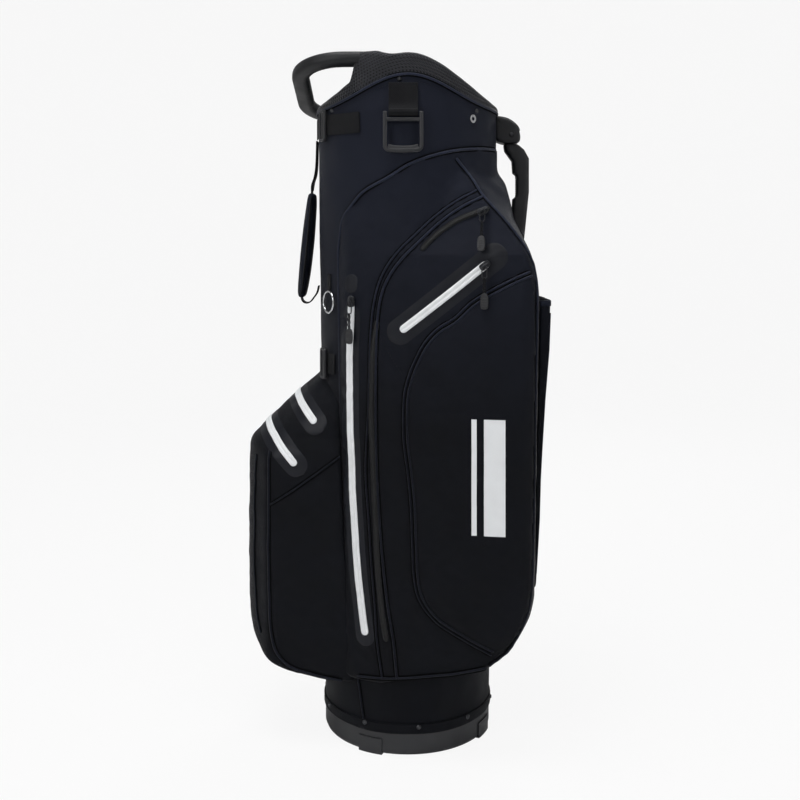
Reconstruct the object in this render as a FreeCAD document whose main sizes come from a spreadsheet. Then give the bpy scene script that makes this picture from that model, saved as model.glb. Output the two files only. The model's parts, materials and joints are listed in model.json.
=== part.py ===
import FreeCAD, Part
import math
import os
import Sketcher
from FreeCAD import Placement, Rotation, Vector

# A golf cart bag standing on its moulded base. +Z is up and the origin is the middle of the base on
# the floor. -X is the front with the ball pocket, +X the back with the flat sleeve and the lift handle,
# and -Y is the side with the towel ring and the clothing pocket.

# name, millimetres (or a plain number), what it is
SIZES = [
    ("base_radius", 112, "outer radius of the moulded base cup"),
    ("base_height", 28, "height of the cup's outer wall"),
    ("base_wall", 3, "thickness of the cup's outer wall and floor"),
    ("base_collar_top", 55, "top of the cup's inner collar, which the tube is riveted to"),
    ("base_collar_wall", 1.8, "thickness of that collar"),
    ("foot_width", 33, "width of a foot along the rim"),
    ("foot_proud", 1.6, "how far a foot stands out of the cup's wall"),
    ("foot_count", 4, "feet around the cup"),
    ("foot_angle", 244.5, "direction of the first foot, from +X"),
    ("hem_height", 13, "height of the folded hem above the cup"),
    ("hem_thickness", 1.6, "thickness of the hem"),
    ("rivet_count", 10, "rivets in the hem"),
    ("rivet_angle", 241, "direction of the first rivet, from +X"),
    ("rivet_radius", 3.2, "radius of a rivet head"),
    ("rivet_height", 1.8, "height of a rivet head"),
    ("tube_radius_low", 111.8, "outer radius of the fabric tube at the base"),
    ("tube_radius_top", 123, "outer radius of the fabric tube at its top"),
    ("tube_top", 870, "height at which the tube's cone is measured"),
    ("tube_wall", 2.5, "thickness of the padded tube"),
    ("seam_low", 830, "height of the cuff's seam away from the high side"),
    ("seam_rise", 38, "how much higher the seam is on the high side"),
    ("rim_low", 838, "height of the mesh roll away from the high side"),
    ("rim_rise", 58, "how much higher the roll is on the high side"),
    ("roll_radius", 124, "outer radius of the mesh roll"),
    ("roll_inner_radius", 114, "inner radius of the mesh roll"),
    ("roll_cap", 7, "padding of the roll above the moulded ring"),
    ("ring_inner_radius", 114, "inner radius of the moulded ring"),
    ("ring_bottom", 778, "lower edge of the moulded ring"),
    ("bar_spacing", 56, "distance between the long divider bars"),
    ("bar_thickness", 5, "thickness of a divider bar"),
    ("bar_height", 30, "height of a divider bar"),
    ("bar_top", 826, "top of the middle long bar"),
    ("bar_step", 11, "drop from one long bar to the next, away from the high side"),
    ("outer_cross_x", 38, "where the short bars of the outer rows stand"),
    ("inner_cross_x", 56, "where the short bars of the inner rows stand"),
    ("panel_thickness", 1.2, "thickness of a full-length divider panel"),
    ("panel_bottom", 7, "lower edge of the divider panels"),
    ("rod_radius", 3, "radius of a stay rod"),
    ("rod_circle", 102.5, "distance of the stay rods from the axis"),
    ("loop_reach", 143, "how far the loop handle's grip stands from the axis"),
    ("loop_half_width", 101, "half the width of the loop handle"),
    ("loop_corner", 62, "bend radius of the loop handle"),
    ("loop_height", 864, "height of the loop handle's grip in the middle"),
    ("loop_tilt", 14.5, "slope of the loop handle, in degrees"),
    ("loop_bar_width", 23, "width of the loop handle's bar"),
    ("loop_bar_height", 17, "height of the loop handle's bar"),
    ("lift_half_width", 12, "half the width of the lift handle"),
    ("lift_reach", 168, "how far the lift handle stands from the axis"),
    ("lift_bar", 20, "thickness of the lift handle's bar"),
    ("lift_grip_low", 716, "lower end of the lift handle's grip"),
    ("lift_grip_high", 748, "upper end of the lift handle's grip"),
    ("lift_low", 632, "lower end of the lift handle"),
    ("lift_high", 790, "upper end of the lift handle, where the hood holds it"),
    ("hood_half_width", 17, "half the width of the hood"),
    ("hood_top", 826, "top of the hood"),
    ("foot_plate", 3, "thickness of the lift handle's lower plate"),
    ("screw_radius", 3, "radius of a handle screw's head"),
    ("towel_width", 51, "width of the towel ring"),
    ("towel_height", 53, "height of the towel ring"),
    ("towel_bar", 5, "thickness of the towel ring's bars"),
    ("towel_x", -6, "middle of the towel ring"),
    ("towel_hinge", 810, "height of the towel ring's crossbar"),
    ("tab_width", 37, "width of the towel ring's webbing tab"),
    ("tab_top", 856, "top of the webbing tab"),
    ("tab_thickness", 2.2, "thickness of the webbing tab"),
    ("eyelet_radius", 5.4, "outer radius of the steel eyelet"),
    ("webbing_thickness", 1.8, "thickness of the strap webbing"),
    ("webbing_width", 27, "width of the strap webbing"),
    ("upper_web_z", 809, "height of the upper anchor webbing"),
    ("lower_web_z", 494, "height of the lower anchor webbing"),
    ("buckle_width", 17, "width of a buckle along the webbing"),
    ("buckle_height", 42, "height of a buckle"),
    ("buckle_depth", 5, "thickness of a buckle"),
    ("strap_pad_width", 40, "width of the carry strap's pad"),
    ("strap_pad_thickness", 11, "thickness of the carry strap's pad"),
    ("strap_pad_top", 724, "upper end of the pad"),
    ("strap_pad_bottom", 578, "lower end of the pad"),
    ("strap_lean", 14, "how far the pad's lower end hangs away from the bag"),
    ("strap_gap", 4, "space between the pad's upper end and the tube"),
    ("glove_ring_radius", 14, "radius of the glove ring to the middle of its wire"),
    ("glove_wire_radius", 1.5, "radius of the glove ring's wire"),
    ("glove_angle", 211, "direction of the glove ring, from +X"),
    ("glove_z", 576, "height of the glove ring's middle"),
    ("ball_reach", 217, "how far the ball pocket's front stands from the axis"),
    ("ball_half_width", 78, "half the width of the ball pocket at its front corners"),
    ("ball_root_half_width", 96, "half the width of the ball pocket where it meets the tube"),
    ("ball_top", 480, "where the ball pocket's sloped top meets the tube"),
    ("ball_shoulder", 390, "height of the ball pocket's front edge"),
    ("ball_bottom", 86, "bottom of the ball pocket"),
    ("ball_crown", 88, "radius of the ball pocket's crowned top"),
    ("ball_zip_x", 150, "how far out the upper ball pocket zip crosses the middle"),
    ("ball_zip_gap", 40, "distance from the upper zip to the lower one along the slope"),
    ("pocket_wall", 3, "thickness of a pocket's padded fabric"),
    ("side_left", 88, "how far forward the side pockets start"),
    ("side_left_depth", 76, "distance from the bag's middle plane to their front edge"),
    ("side_front_x", 80, "how far forward their front corner is"),
    ("side_front_depth", 100, "depth of that corner"),
    ("side_crease_x", 40, "how far forward the crease beside the long zip is"),
    ("side_crease_depth", 120, "depth of that crease"),
    ("side_deep_x", 150, "how far back their deepest point is"),
    ("side_depth", 158, "depth of the side pockets"),
    ("side_reach", 174.5, "how far back the side pockets reach"),
    ("side_channel", 17, "half the width of the channel between them at the back"),
    ("side_bottom", 97, "bottom of the side pockets"),
    ("side_shoulder", 640, "height at which their face starts to lean in"),
    ("side_edge_top", 580, "height at which their back edge starts to slant"),
    ("side_top", 775, "top of the side pockets"),
    ("side_lean", 46, "how far the face leans in from the shoulder to the top"),
    ("overlay", 3, "thickness of their upper panel on the tube"),
    ("sleeve_depth", 15, "depth of the flat sleeve at the back"),
    ("sleeve_half_width", 58, "half the width of the sleeve"),
    ("sleeve_top", 575, "open top of the sleeve"),
    ("sleeve_bottom", 190, "bottom of the sleeve"),
    ("sleeve_wall", 2, "thickness of the sleeve's fabric"),
    ("zip_width", 10, "width of a zip"),
    ("zip_thickness", 1.5, "thickness of a zip"),
    ("slider_width", 9, "width of a zip slider"),
    ("slider_length", 15, "length of a zip slider"),
    ("slider_height", 5, "height of a zip slider"),
    ("pull_length", 54, "length of a zip pull with its cord and tab"),
    ("pull_tab_length", 20, "length of a zip pull's tab"),
    ("pull_tab_width", 10, "width of a zip pull's tab"),
    ("pull_thickness", 3, "thickness of a zip pull"),
    ("gap", 0.3, "clearance between pieces that lie against each other"),
]

doc = FreeCAD.newDocument("cart_bag")
sheet = doc.addObject("Spreadsheet::Sheet", "sizes")
for row, (alias, number, note) in enumerate(SIZES, start=1):
    sheet.set(f"A{row}", note)
    sheet.set(f"B{row}", str(number))
    sheet.setAlias(f"B{row}", alias)
doc.recompute()

nodes = {}

# how sketches lie: across the bag (x, y), from the side (x, z) and from the front (y, z)
FLAT = Rotation()
SIDE = Rotation(Vector(1, 0, 0), 90)
FRONT = Rotation(Vector(1, 1, 1), 120)


def value(expression):
    """A number worked out from the sheet by FreeCAD's own expression engine."""
    result = sheet.evalExpression(str(expression))
    return float(getattr(result, "Value", result))


def size(alias):
    """A size from the sheet in millimetres."""
    return value(f"sizes.{alias}")


def bind(thing, **expressions):
    """Tie properties to expressions on the sheet."""
    for prop, expression in expressions.items():
        thing.setExpression(prop.replace("__", "."), str(expression))


def node(thing, name, place=None):
    """Make an object the sub-part that is written as name."""
    thing.Label = name
    if place is not None:
        thing.Placement = place
    nodes[name] = thing
    return thing


def close_loop(sketch, points):
    """Draw a closed outline whose corners are pairs of expressions."""
    corners = [Vector(value(x), value(y), 0) for x, y in points]
    count = len(corners)
    for i in range(count):
        sketch.addGeometry(Part.LineSegment(corners[i], corners[(i + 1) % count]), False)
    for i in range(count):
        sketch.addConstraint(Sketcher.Constraint("Coincident", i, 2, (i + 1) % count, 1))
    for i, (x, y) in enumerate(points):
        for kind, expression in (("DistanceX", x), ("DistanceY", y)):
            number = sketch.addConstraint(Sketcher.Constraint(kind, -1, 1, i, 1, value(expression)))
            sketch.setExpression(f"Constraints[{number}]", str(expression))


def prism(name, turn, points, start, length):
    """Extrude a closed outline: turn lays the sketch, start is where it begins along its normal."""
    sketch = doc.addObject("Sketcher::SketchObject", name + "_outline")
    sketch.Placement = Placement(turn.multVec(Vector(0, 0, value(start))), turn)
    close_loop(sketch, points)
    body = doc.addObject("Part::Extrusion", name)
    body.Base = sketch
    body.DirMode = "Normal"
    body.Solid = True
    bind(body, LengthFwd=length)
    return body


def cylinder(name, radius, bottom, top):
    """An upright cylinder on the bag's axis."""
    body = doc.addObject("Part::Cylinder", name)
    bind(body, Radius=radius, Height=f"({top}) - ({bottom})", Placement__Base__z=bottom)
    return body


def tube_cone(name, proud, bottom="0", top="sizes.tube_top"):
    """The tube's tapering outer surface, proud of it by a distance, between two heights."""
    slope = "(sizes.tube_radius_top - sizes.tube_radius_low) / sizes.tube_top"
    body = doc.addObject("Part::Cone", name)
    bind(
        body,
        Radius1=f"sizes.tube_radius_low + {slope} * ({bottom}) + ({proud})",
        Radius2=f"sizes.tube_radius_low + {slope} * ({top}) + ({proud})",
        Height=f"({top}) - ({bottom})",
        Placement__Base__z=bottom,
    )
    return body


def cut(name, base, tool):
    body = doc.addObject("Part::Cut", name)
    body.Base = base
    body.Tool = tool
    return body


def common(name, *shapes):
    body = doc.addObject("Part::MultiCommon", name)
    body.Shapes = list(shapes)
    return body


def fuse(name, *shapes):
    body = doc.addObject("Part::MultiFuse", name)
    body.Shapes = list(shapes)
    return body


def group(name, shapes):
    """Several separate solids as one sub-part."""
    body = doc.addObject("Part::Compound", name)
    body.Links = list(shapes)
    return body


def tube_radius(z):
    """Outer radius of the tube at a height."""
    grow = size("tube_radius_top") - size("tube_radius_low")
    return size("tube_radius_low") + grow * z / size("tube_top")


def origin_plane(body, role):
    return next(plane for plane in body.Origin.OriginFeatures if plane.Role == role)


def body_sketch(body, name, role):
    """A sketch on one of the body's own origin planes."""
    sketch = body.newObject("Sketcher::SketchObject", name)
    sketch.AttachmentSupport = [(origin_plane(body, role), "")]
    sketch.MapMode = "FlatFace"
    return sketch


def padded_plate(name, points, length, role="XY_Plane"):
    """A PartDesign body: a closed outline padded evenly to both sides of its plane."""
    body = doc.addObject("PartDesign::Body", name)
    sketch = body_sketch(body, name + "_outline", role)
    close_loop(sketch, points)
    pad = body.newObject("PartDesign::Pad", name + "_pad")
    pad.Profile = sketch
    pad.Midplane = True
    bind(pad, Length=length)
    return body


def window(body, name, points, role="XY_Plane"):
    """Cut a closed outline right through a PartDesign body."""
    sketch = body_sketch(body, name + "_outline", role)
    close_loop(sketch, points)
    hole = body.newObject("PartDesign::Pocket", name)
    hole.Profile = sketch
    hole.Midplane = True
    hole.Type = "ThroughAll"
    return hole


def rectangle(width, height, x="0", y="0"):
    """The four corners of a rectangle round (x, y), as expressions."""
    left, right = f"({x}) - ({width}) / 2", f"({x}) + ({width}) / 2"
    low, high = f"({y}) - ({height}) / 2", f"({y}) + ({height}) / 2"
    return [(left, low), (right, low), (right, high), (left, high)]


def frame_place(origin, along, outward):
    """A placement whose local x runs along and whose local z points outward."""
    x = Vector(along).normalize()
    z = (Vector(outward) - x * x.dot(Vector(outward))).normalize()
    y = z.cross(x)
    matrix = FreeCAD.Matrix(x.x, y.x, z.x, 0, x.y, y.y, z.y, 0, x.z, y.z, z.z, 0, 0, 0, 0, 1)
    turn = Placement(matrix).Rotation
    return Placement(Vector(origin), turn)


def rim_prism(name, low, rise, power, drop):
    """Everything under the rim's rising line: low + rise * ((1 + cos a) / 2) ^ power, less drop."""
    angles = (0, 12, 20, 30, 40, 52, 66, 90)
    reach = "sizes.roll_radius"
    points = [(f"-1.3 * {reach}", f"{low} + {rise} - ({drop})")]
    for angle in angles:
        share = f"((1 + cos({angle} deg)) / 2) ^ {power}"
        points.append((f"-{reach} * cos({angle} deg)", f"{low} + {rise} * {share} - ({drop})"))
    points.append((f"1.3 * {reach}", f"{low} - ({drop})"))
    points.append((f"1.3 * {reach}", f"sizes.ring_bottom / 2"))
    points.append((f"-1.3 * {reach}", f"sizes.ring_bottom / 2"))
    return prism(name, FRONT, points, f"-1.3 * {reach}", f"2.6 * {reach}")


def make_base():
    """The moulded cup that the bag stands on, with its feet, and the riveted hem above it."""
    body = doc.addObject("PartDesign::Body", "base_cup_body")
    sketch = body_sketch(body, "cup_profile", "XZ_Plane")
    outer, wall = "sizes.base_radius", "sizes.base_wall"
    top = "sizes.base_height"
    collar = "sizes.tube_radius_low - sizes.tube_wall - sizes.gap"
    points = [
        ("0", "0"),
        (f"{outer} - 5", "0"),
        (f"{outer} - 1.5", "1.5"),
        (outer, "5"),
        (outer, top),
        (collar, top),
        (collar, "sizes.base_collar_top"),
        (f"{collar} - sizes.base_collar_wall", "sizes.base_collar_top"),
        (f"{collar} - sizes.base_collar_wall", wall),
        ("0", wall),
    ]
    close_loop(sketch, points)
    turned = body.newObject("PartDesign::Revolution", "cup_turned")
    turned.Profile = sketch
    turned.ReferenceAxis = (sketch, ["V_Axis"])
    turned.Angle = 360
    doc.recompute()

    ring_outer = cylinder("foot_outer", "sizes.base_radius + sizes.foot_proud", "0", "20")
    ring_inner = cylinder("foot_inner", "sizes.base_radius - sizes.base_wall", "-1", "21")
    ring = cut("foot_ring", ring_outer, ring_inner)
    blocks = []
    for i in range(int(value("sizes.foot_count"))):
        block = doc.addObject("Part::Box", f"foot_block_{i}")
        bind(block, Length="sizes.base_radius + 20", Width="sizes.foot_width", Height="20")
        angle = size("foot_angle") + 360 * i / value("sizes.foot_count")
        turn = Rotation(Vector(0, 0, 1), angle)
        block.Placement = Placement(turn.multVec(Vector(0, -size("foot_width") / 2, 0)), turn)
        blocks.append(block)
    feet = common("feet", ring, fuse("foot_blocks", *blocks))
    node(fuse("base_cup_all", body, feet), "base_cup")

    low, high = f"{top} + sizes.gap", f"{top} + sizes.gap + sizes.hem_height"
    hem_outer = tube_cone("hem_outer", "sizes.gap + sizes.hem_thickness", low, high)
    hem_inner = tube_cone("hem_inner", "sizes.gap", low, high)
    node(cut("hem", hem_outer, hem_inner), "hem_band")

    rivets = []
    height = size("base_height") + 0.75 * size("hem_height")
    stand = tube_radius(height) + 2 * size("gap") + size("hem_thickness")
    for i in range(int(value("sizes.rivet_count"))):
        angle = math.radians(size("rivet_angle") + 360 * i / value("sizes.rivet_count"))
        out = Vector(math.cos(angle), math.sin(angle), 0)
        rivets.append(rivet(f"hem_rivet_{i}", out * stand + Vector(0, 0, height), out))
    node(group("hem_rivets", rivets), "base_rivets")


def rivet(name, place, outward, radius="sizes.rivet_radius"):
    """A domed rivet head standing on a surface."""
    head = doc.addObject("Part::Cone", name)
    bind(head, Radius1=radius, Radius2=f"{radius} * 0.6", Height="sizes.rivet_height")
    head.Placement = frame_place(place, Vector(0, 0, 1), outward)
    return head


def make_tube():
    """The fabric tube, the stay rods inside it and the divider panels that run its whole length."""
    bottom = "sizes.base_height + sizes.gap"
    outer = tube_cone("tube_outer", "0", bottom)
    inner = tube_cone("tube_inner", "-sizes.tube_wall", bottom)
    seam = rim_prism("below_seam", "sizes.seam_low", "sizes.seam_rise", 11, "sizes.gap")
    floor = cylinder("tube_low_part", "sizes.roll_radius * 2", "0", "sizes.ring_bottom - 20")
    trimmed = common("tube_trimmed", cut("tube_ring", outer, inner), fuse("tube_reach", seam, floor))
    node(cut("tube_notched", trimmed, loop_solid("tube_loop_space", size("gap") + 0.2)), "tube_shell")

    rods = []
    for side in (-1, 1):
        under = f"sizes.bar_top - {side} * sizes.bar_step - sizes.bar_height - sizes.gap"
        for end in (-1, 1):
            rod = doc.addObject("Part::Cylinder", f"stay_{side}_{end}")
            low = "sizes.base_wall + sizes.gap"
            bind(rod, Radius="sizes.rod_radius", Height=f"{under} - ({low})")
            bind(
                rod,
                Placement__Base__x=f"{end} * sqrt(sizes.rod_circle ^ 2 - sizes.bar_spacing ^ 2)",
                Placement__Base__y=f"{side} * sizes.bar_spacing",
                Placement__Base__z=low,
            )
            rods.append(rod)
    node(group("stays", rods), "stay_rods")


def short_places():
    """Where the short bars and panels stand: row number, x, and the row's two edges in y."""
    places = []
    for line in (-2, -1, 0, 1):
        outer = line in (-2, 1)
        spots = ("-sizes.outer_cross_x", "sizes.outer_cross_x")
        if not outer:
            spots = ("-sizes.inner_cross_x", "0", "sizes.inner_cross_x")
        low = "-sizes.ring_inner_radius" if line == -2 else f"{line} * sizes.bar_spacing"
        high = "sizes.ring_inner_radius" if line == 1 else f"{line + 1} * sizes.bar_spacing"
        for spot in spots:
            places.append((line, spot, low, high))
    return places


def divider_set(name, thickness, zones, limit):
    """Long and short upright plates: zones gives each row's bottom and top, limit trims them."""
    half = f"({thickness}) / 2"
    longs, shorts = [], []
    for line in (-1, 0, 1):
        low, high = zones(line, True)
        plate = doc.addObject("Part::Box", f"{name}_long_{line}")
        bind(plate, Length="2 * sizes.roll_radius", Width=thickness, Height=f"({high}) - ({low})")
        bind(
            plate,
            Placement__Base__x="-sizes.roll_radius",
            Placement__Base__y=f"{line} * sizes.bar_spacing - {half}",
            Placement__Base__z=low,
        )
        longs.append(common(f"{name}_long_trim_{line}", plate, limit))
    for i, (line, spot, front, back) in enumerate(short_places()):
        low, high = zones(line, False)
        start = f"{front} + {half} + sizes.gap"
        end = f"{back} - {half} - sizes.gap"
        plate = doc.addObject("Part::Box", f"{name}_short_{i}")
        bind(plate, Length=thickness, Width=f"({end}) - ({start})", Height=f"({high}) - ({low})")
        bind(
            plate,
            Placement__Base__x=f"{spot} - {half}",
            Placement__Base__y=start,
            Placement__Base__z=low,
        )
        shorts.append(common(f"{name}_short_trim_{i}", plate, limit))
    return longs, shorts


def make_dividers():
    """The moulded fourteen-way top and the full-length panels that hang from it."""
    bottom = "sizes.ring_bottom"
    reach = "sizes.tube_radius_top - sizes.tube_wall - 2 * sizes.gap - 0.9"
    outer = cylinder("ring_outer", reach, bottom, "sizes.rim_low + sizes.rim_rise")
    inner = cylinder("ring_inner", "sizes.ring_inner_radius", "0", "sizes.rim_low + sizes.rim_rise")
    under = rim_prism("below_roll_cap", "sizes.rim_low", "sizes.rim_rise", 8, "sizes.roll_cap + sizes.gap")
    node(common("ring_trimmed", cut("ring_full", outer, inner), under), "top_ring")

    def bar_zone(line, is_long):
        step = line if is_long else line + 0.5
        top = f"sizes.bar_top - {step} * sizes.bar_step"
        return f"{top} - sizes.bar_height", top

    def panel_zone(line, is_long):
        low, high = bar_zone(line if is_long else line + 0.5, is_long)
        return "sizes.panel_bottom", f"{low} - sizes.gap"

    bar_limit = cylinder(
        "bar_limit", "sizes.ring_inner_radius - sizes.gap", "0", "sizes.rim_low + sizes.rim_rise"
    )
    longs, shorts = divider_set("bar", "sizes.bar_thickness", bar_zone, bar_limit)
    node(group("bars_long", longs), "divider_bars_long")
    node(group("bars_cross", shorts), "divider_bars_cross")

    inside = "-sizes.tube_wall - sizes.base_collar_wall - 3 * sizes.gap - 0.8"
    room = common("panel_room", tube_cone("panel_cone", inside), bar_limit)
    rods = fuse("rod_room", *[rod_room(side, end) for side in (-1, 1) for end in (-1, 1)])
    panel_limit = cut("panel_limit", room, rods)
    longs, shorts = divider_set("panel", "sizes.panel_thickness", panel_zone, panel_limit)
    node(group("panels_long", longs), "divider_panels_long")
    node(group("panels_cross", shorts), "divider_panels_cross")


def rod_room(side, end):
    """The space that the end of a long panel leaves for its stay rod."""
    box = doc.addObject("Part::Box", f"rod_space_{side}_{end}")
    clear = "2 * sizes.rod_radius + 2 * sizes.gap"
    bind(box, Length="40", Width=clear, Height="sizes.tube_top")
    edge = "sqrt(sizes.rod_circle ^ 2 - sizes.bar_spacing ^ 2) - sizes.rod_radius - sizes.gap"
    near = f"({edge})" if end > 0 else f"-({edge}) - 40"
    bind(box, Placement__Base__x=near, Placement__Base__y=f"{side} * sizes.bar_spacing - ({clear}) / 2")
    return box


def loop_solid(name, grow):
    """The loop handle's bar: a rounded section swept round a D in a sloping plane."""
    turn = Rotation(Vector(1, 0, 0), -size("loop_tilt"))
    reach, half = size("loop_reach"), size("loop_half_width")
    bend, root = size("loop_corner"), size("ring_inner_radius") / 3
    stretch = 1 / math.cos(math.radians(size("loop_tilt")))
    half = half * stretch
    start, end = Vector(-root, -half, 0), Vector(-root, half, 0)
    low_in, low_out = Vector(-reach + bend, -half, 0), Vector(-reach, -half + bend, 0)
    high_in, high_out = Vector(-reach, half - bend, 0), Vector(-reach + bend, half, 0)
    give = bend * (1 - math.sqrt(0.5))
    low_mid = Vector(-reach + give, -half + give, 0)
    high_mid = Vector(-reach + give, half - give, 0)
    path = Part.Wire([
        Part.LineSegment(start, low_in).toShape(),
        Part.Arc(low_in, low_mid, low_out).toShape(),
        Part.LineSegment(low_out, high_in).toShape(),
        Part.Arc(high_in, high_mid, high_out).toShape(),
        Part.LineSegment(high_out, end).toShape(),
    ])
    wide, high = size("loop_bar_width") / 2 + grow, size("loop_bar_height") / 2 + grow
    corners = [(-wide + 5, -high), (wide - 5, -high), (wide, -high + 5), (wide, high - 5),
               (wide - 5, high), (-wide + 5, high), (-wide, high - 5), (-wide, -high + 5)]
    ring = [Vector(-root, -half + y, z) for y, z in corners]
    section = Part.Wire(Part.makePolygon(ring + ring[:1]).Edges)
    solid = path.makePipeShell([section], True, False)
    body = doc.addObject("Part::Feature", name)
    body.Shape = solid
    body.Placement = Placement(Vector(0, 0, size("loop_height")), turn)
    return body


def make_cuff():
    """The padded mesh roll round the mouth and the loop handle that comes out of it."""
    high = "sizes.rim_low + sizes.rim_rise + 1"
    low = "sizes.seam_low - 5"
    outer = cylinder("roll_outer", "sizes.roll_radius", low, high)
    inner = cylinder("roll_inner", "sizes.roll_inner_radius", f"{low} - 1", f"{high} + 1")
    under_top = rim_prism("below_roll", "sizes.rim_low", "sizes.rim_rise", 8, "0")
    roll = common("roll_under_top", cut("roll_ring", outer, inner), under_top)
    under_seam = rim_prism("roll_above_seam", "sizes.seam_low", "sizes.seam_rise", 11, "0")
    core_reach = "sizes.tube_radius_top - sizes.tube_wall - sizes.gap - 0.6"
    core = cylinder("roll_core", core_reach, f"{low} - 1", high)
    under_cap = rim_prism("below_cap", "sizes.rim_low", "sizes.rim_rise", 8, "sizes.roll_cap")
    hollow = common("roll_hollow", core, under_cap)
    clear = cut("roll_open", cut("roll_from_seam", roll, under_seam), hollow)
    space = loop_solid("loop_space", size("gap") + 0.2)
    node(cut("roll_with_gap", clear, space), "mesh_collar")

    stop = cylinder("loop_stop", core_reach, "sizes.ring_bottom - 50", "sizes.rim_low + 200")
    node(cut("loop_trimmed", loop_solid("loop_bar", 0), stop), "loop_handle")


def make_lift_handle():
    """The moulded lift handle at the back, its hood, its lower plate and its screws."""
    reach, bar = "sizes.lift_reach", "sizes.lift_bar"
    low, high = "sizes.lift_low", "sizes.lift_high"
    grip_low, grip_high = "sizes.lift_grip_low", "sizes.lift_grip_high"
    tube = "sizes.tube_radius_top - 2"
    wall = f"{tube} + sizes.foot_plate"
    points = [
        (f"{reach} - 17", high),
        (reach, f"{high} - 20"),
        (reach, f"{grip_low} + 8"),
        (f"{reach} - 6", f"{low} + 28"),
        (f"{reach} - 18", f"{low} + 6"),
        (f"{wall} + 12", low),
        (f"{wall} + sizes.gap", low),
        (f"{wall} + sizes.gap", f"{low} + 24"),
        (f"{reach} - {bar} - 5", f"{low} + 48"),
        (f"{reach} - {bar} - 3", grip_low),
        (f"{reach} - {bar} + 1", f"{grip_low} + 1"),
        (f"{reach} - {bar} + 1", f"{grip_high} - 1"),
        (f"{reach} - {bar} - 3", grip_high),
        (f"{reach} - {bar} - 4", f"{high} - 24"),
        (f"{reach} - 36", f"{high} - 8"),
        (f"{reach} - 36", high),
    ]
    body = padded_plate("lift_bar_body", points, "2 * sizes.lift_half_width", "XZ_Plane")
    node(body, "lift_handle")

    hood_points = [
        (tube, "sizes.hood_top"),
        (f"{reach} - 28", "sizes.hood_top - 4"),
        (f"{reach} - 16", "sizes.hood_top - 16"),
        (f"{reach} - 13", f"{high} + 6"),
        (f"{reach} - 15", f"{high} + sizes.gap"),
        (f"{reach} - 38", f"{high} + sizes.gap"),
        (tube, f"{high} + 6"),
    ]
    hood = padded_plate("hood_body", hood_points, "2 * sizes.hood_half_width", "XZ_Plane")
    keep_off = tube_cone("hood_seat", "sizes.gap")
    node(cut("hood_seated", hood, keep_off), "lift_handle_hood")

    plate = doc.addObject("Part::Box", "plate_block")
    bind(plate, Length="12", Width="28", Height="60")
    bind(
        plate,
        Placement__Base__x=f"{wall} - 12",
        Placement__Base__y="-14",
        Placement__Base__z=f"{low} - 10",
    )
    node(cut("plate_seated", plate, tube_cone("plate_seat", "sizes.gap")), "lift_handle_plate")

    screws = []
    edge = size("hood_half_width") + size("gap")
    for side in (-1, 1):
        place = Vector(size("lift_reach") - 26, side * edge, size("lift_high") + 12)
        screws.append(rivet(f"hood_screw_{side}", place, Vector(0, side, 0), "sizes.screw_radius"))
        edge_low = size("lift_half_width") + size("gap")
        place = Vector(size("lift_reach") - 10, side * edge_low, size("lift_low") + 36)
        screws.append(rivet(f"low_screw_{side}", place, Vector(0, side, 0), "sizes.screw_radius"))
    node(group("screws", screws), "handle_screws")


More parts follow.
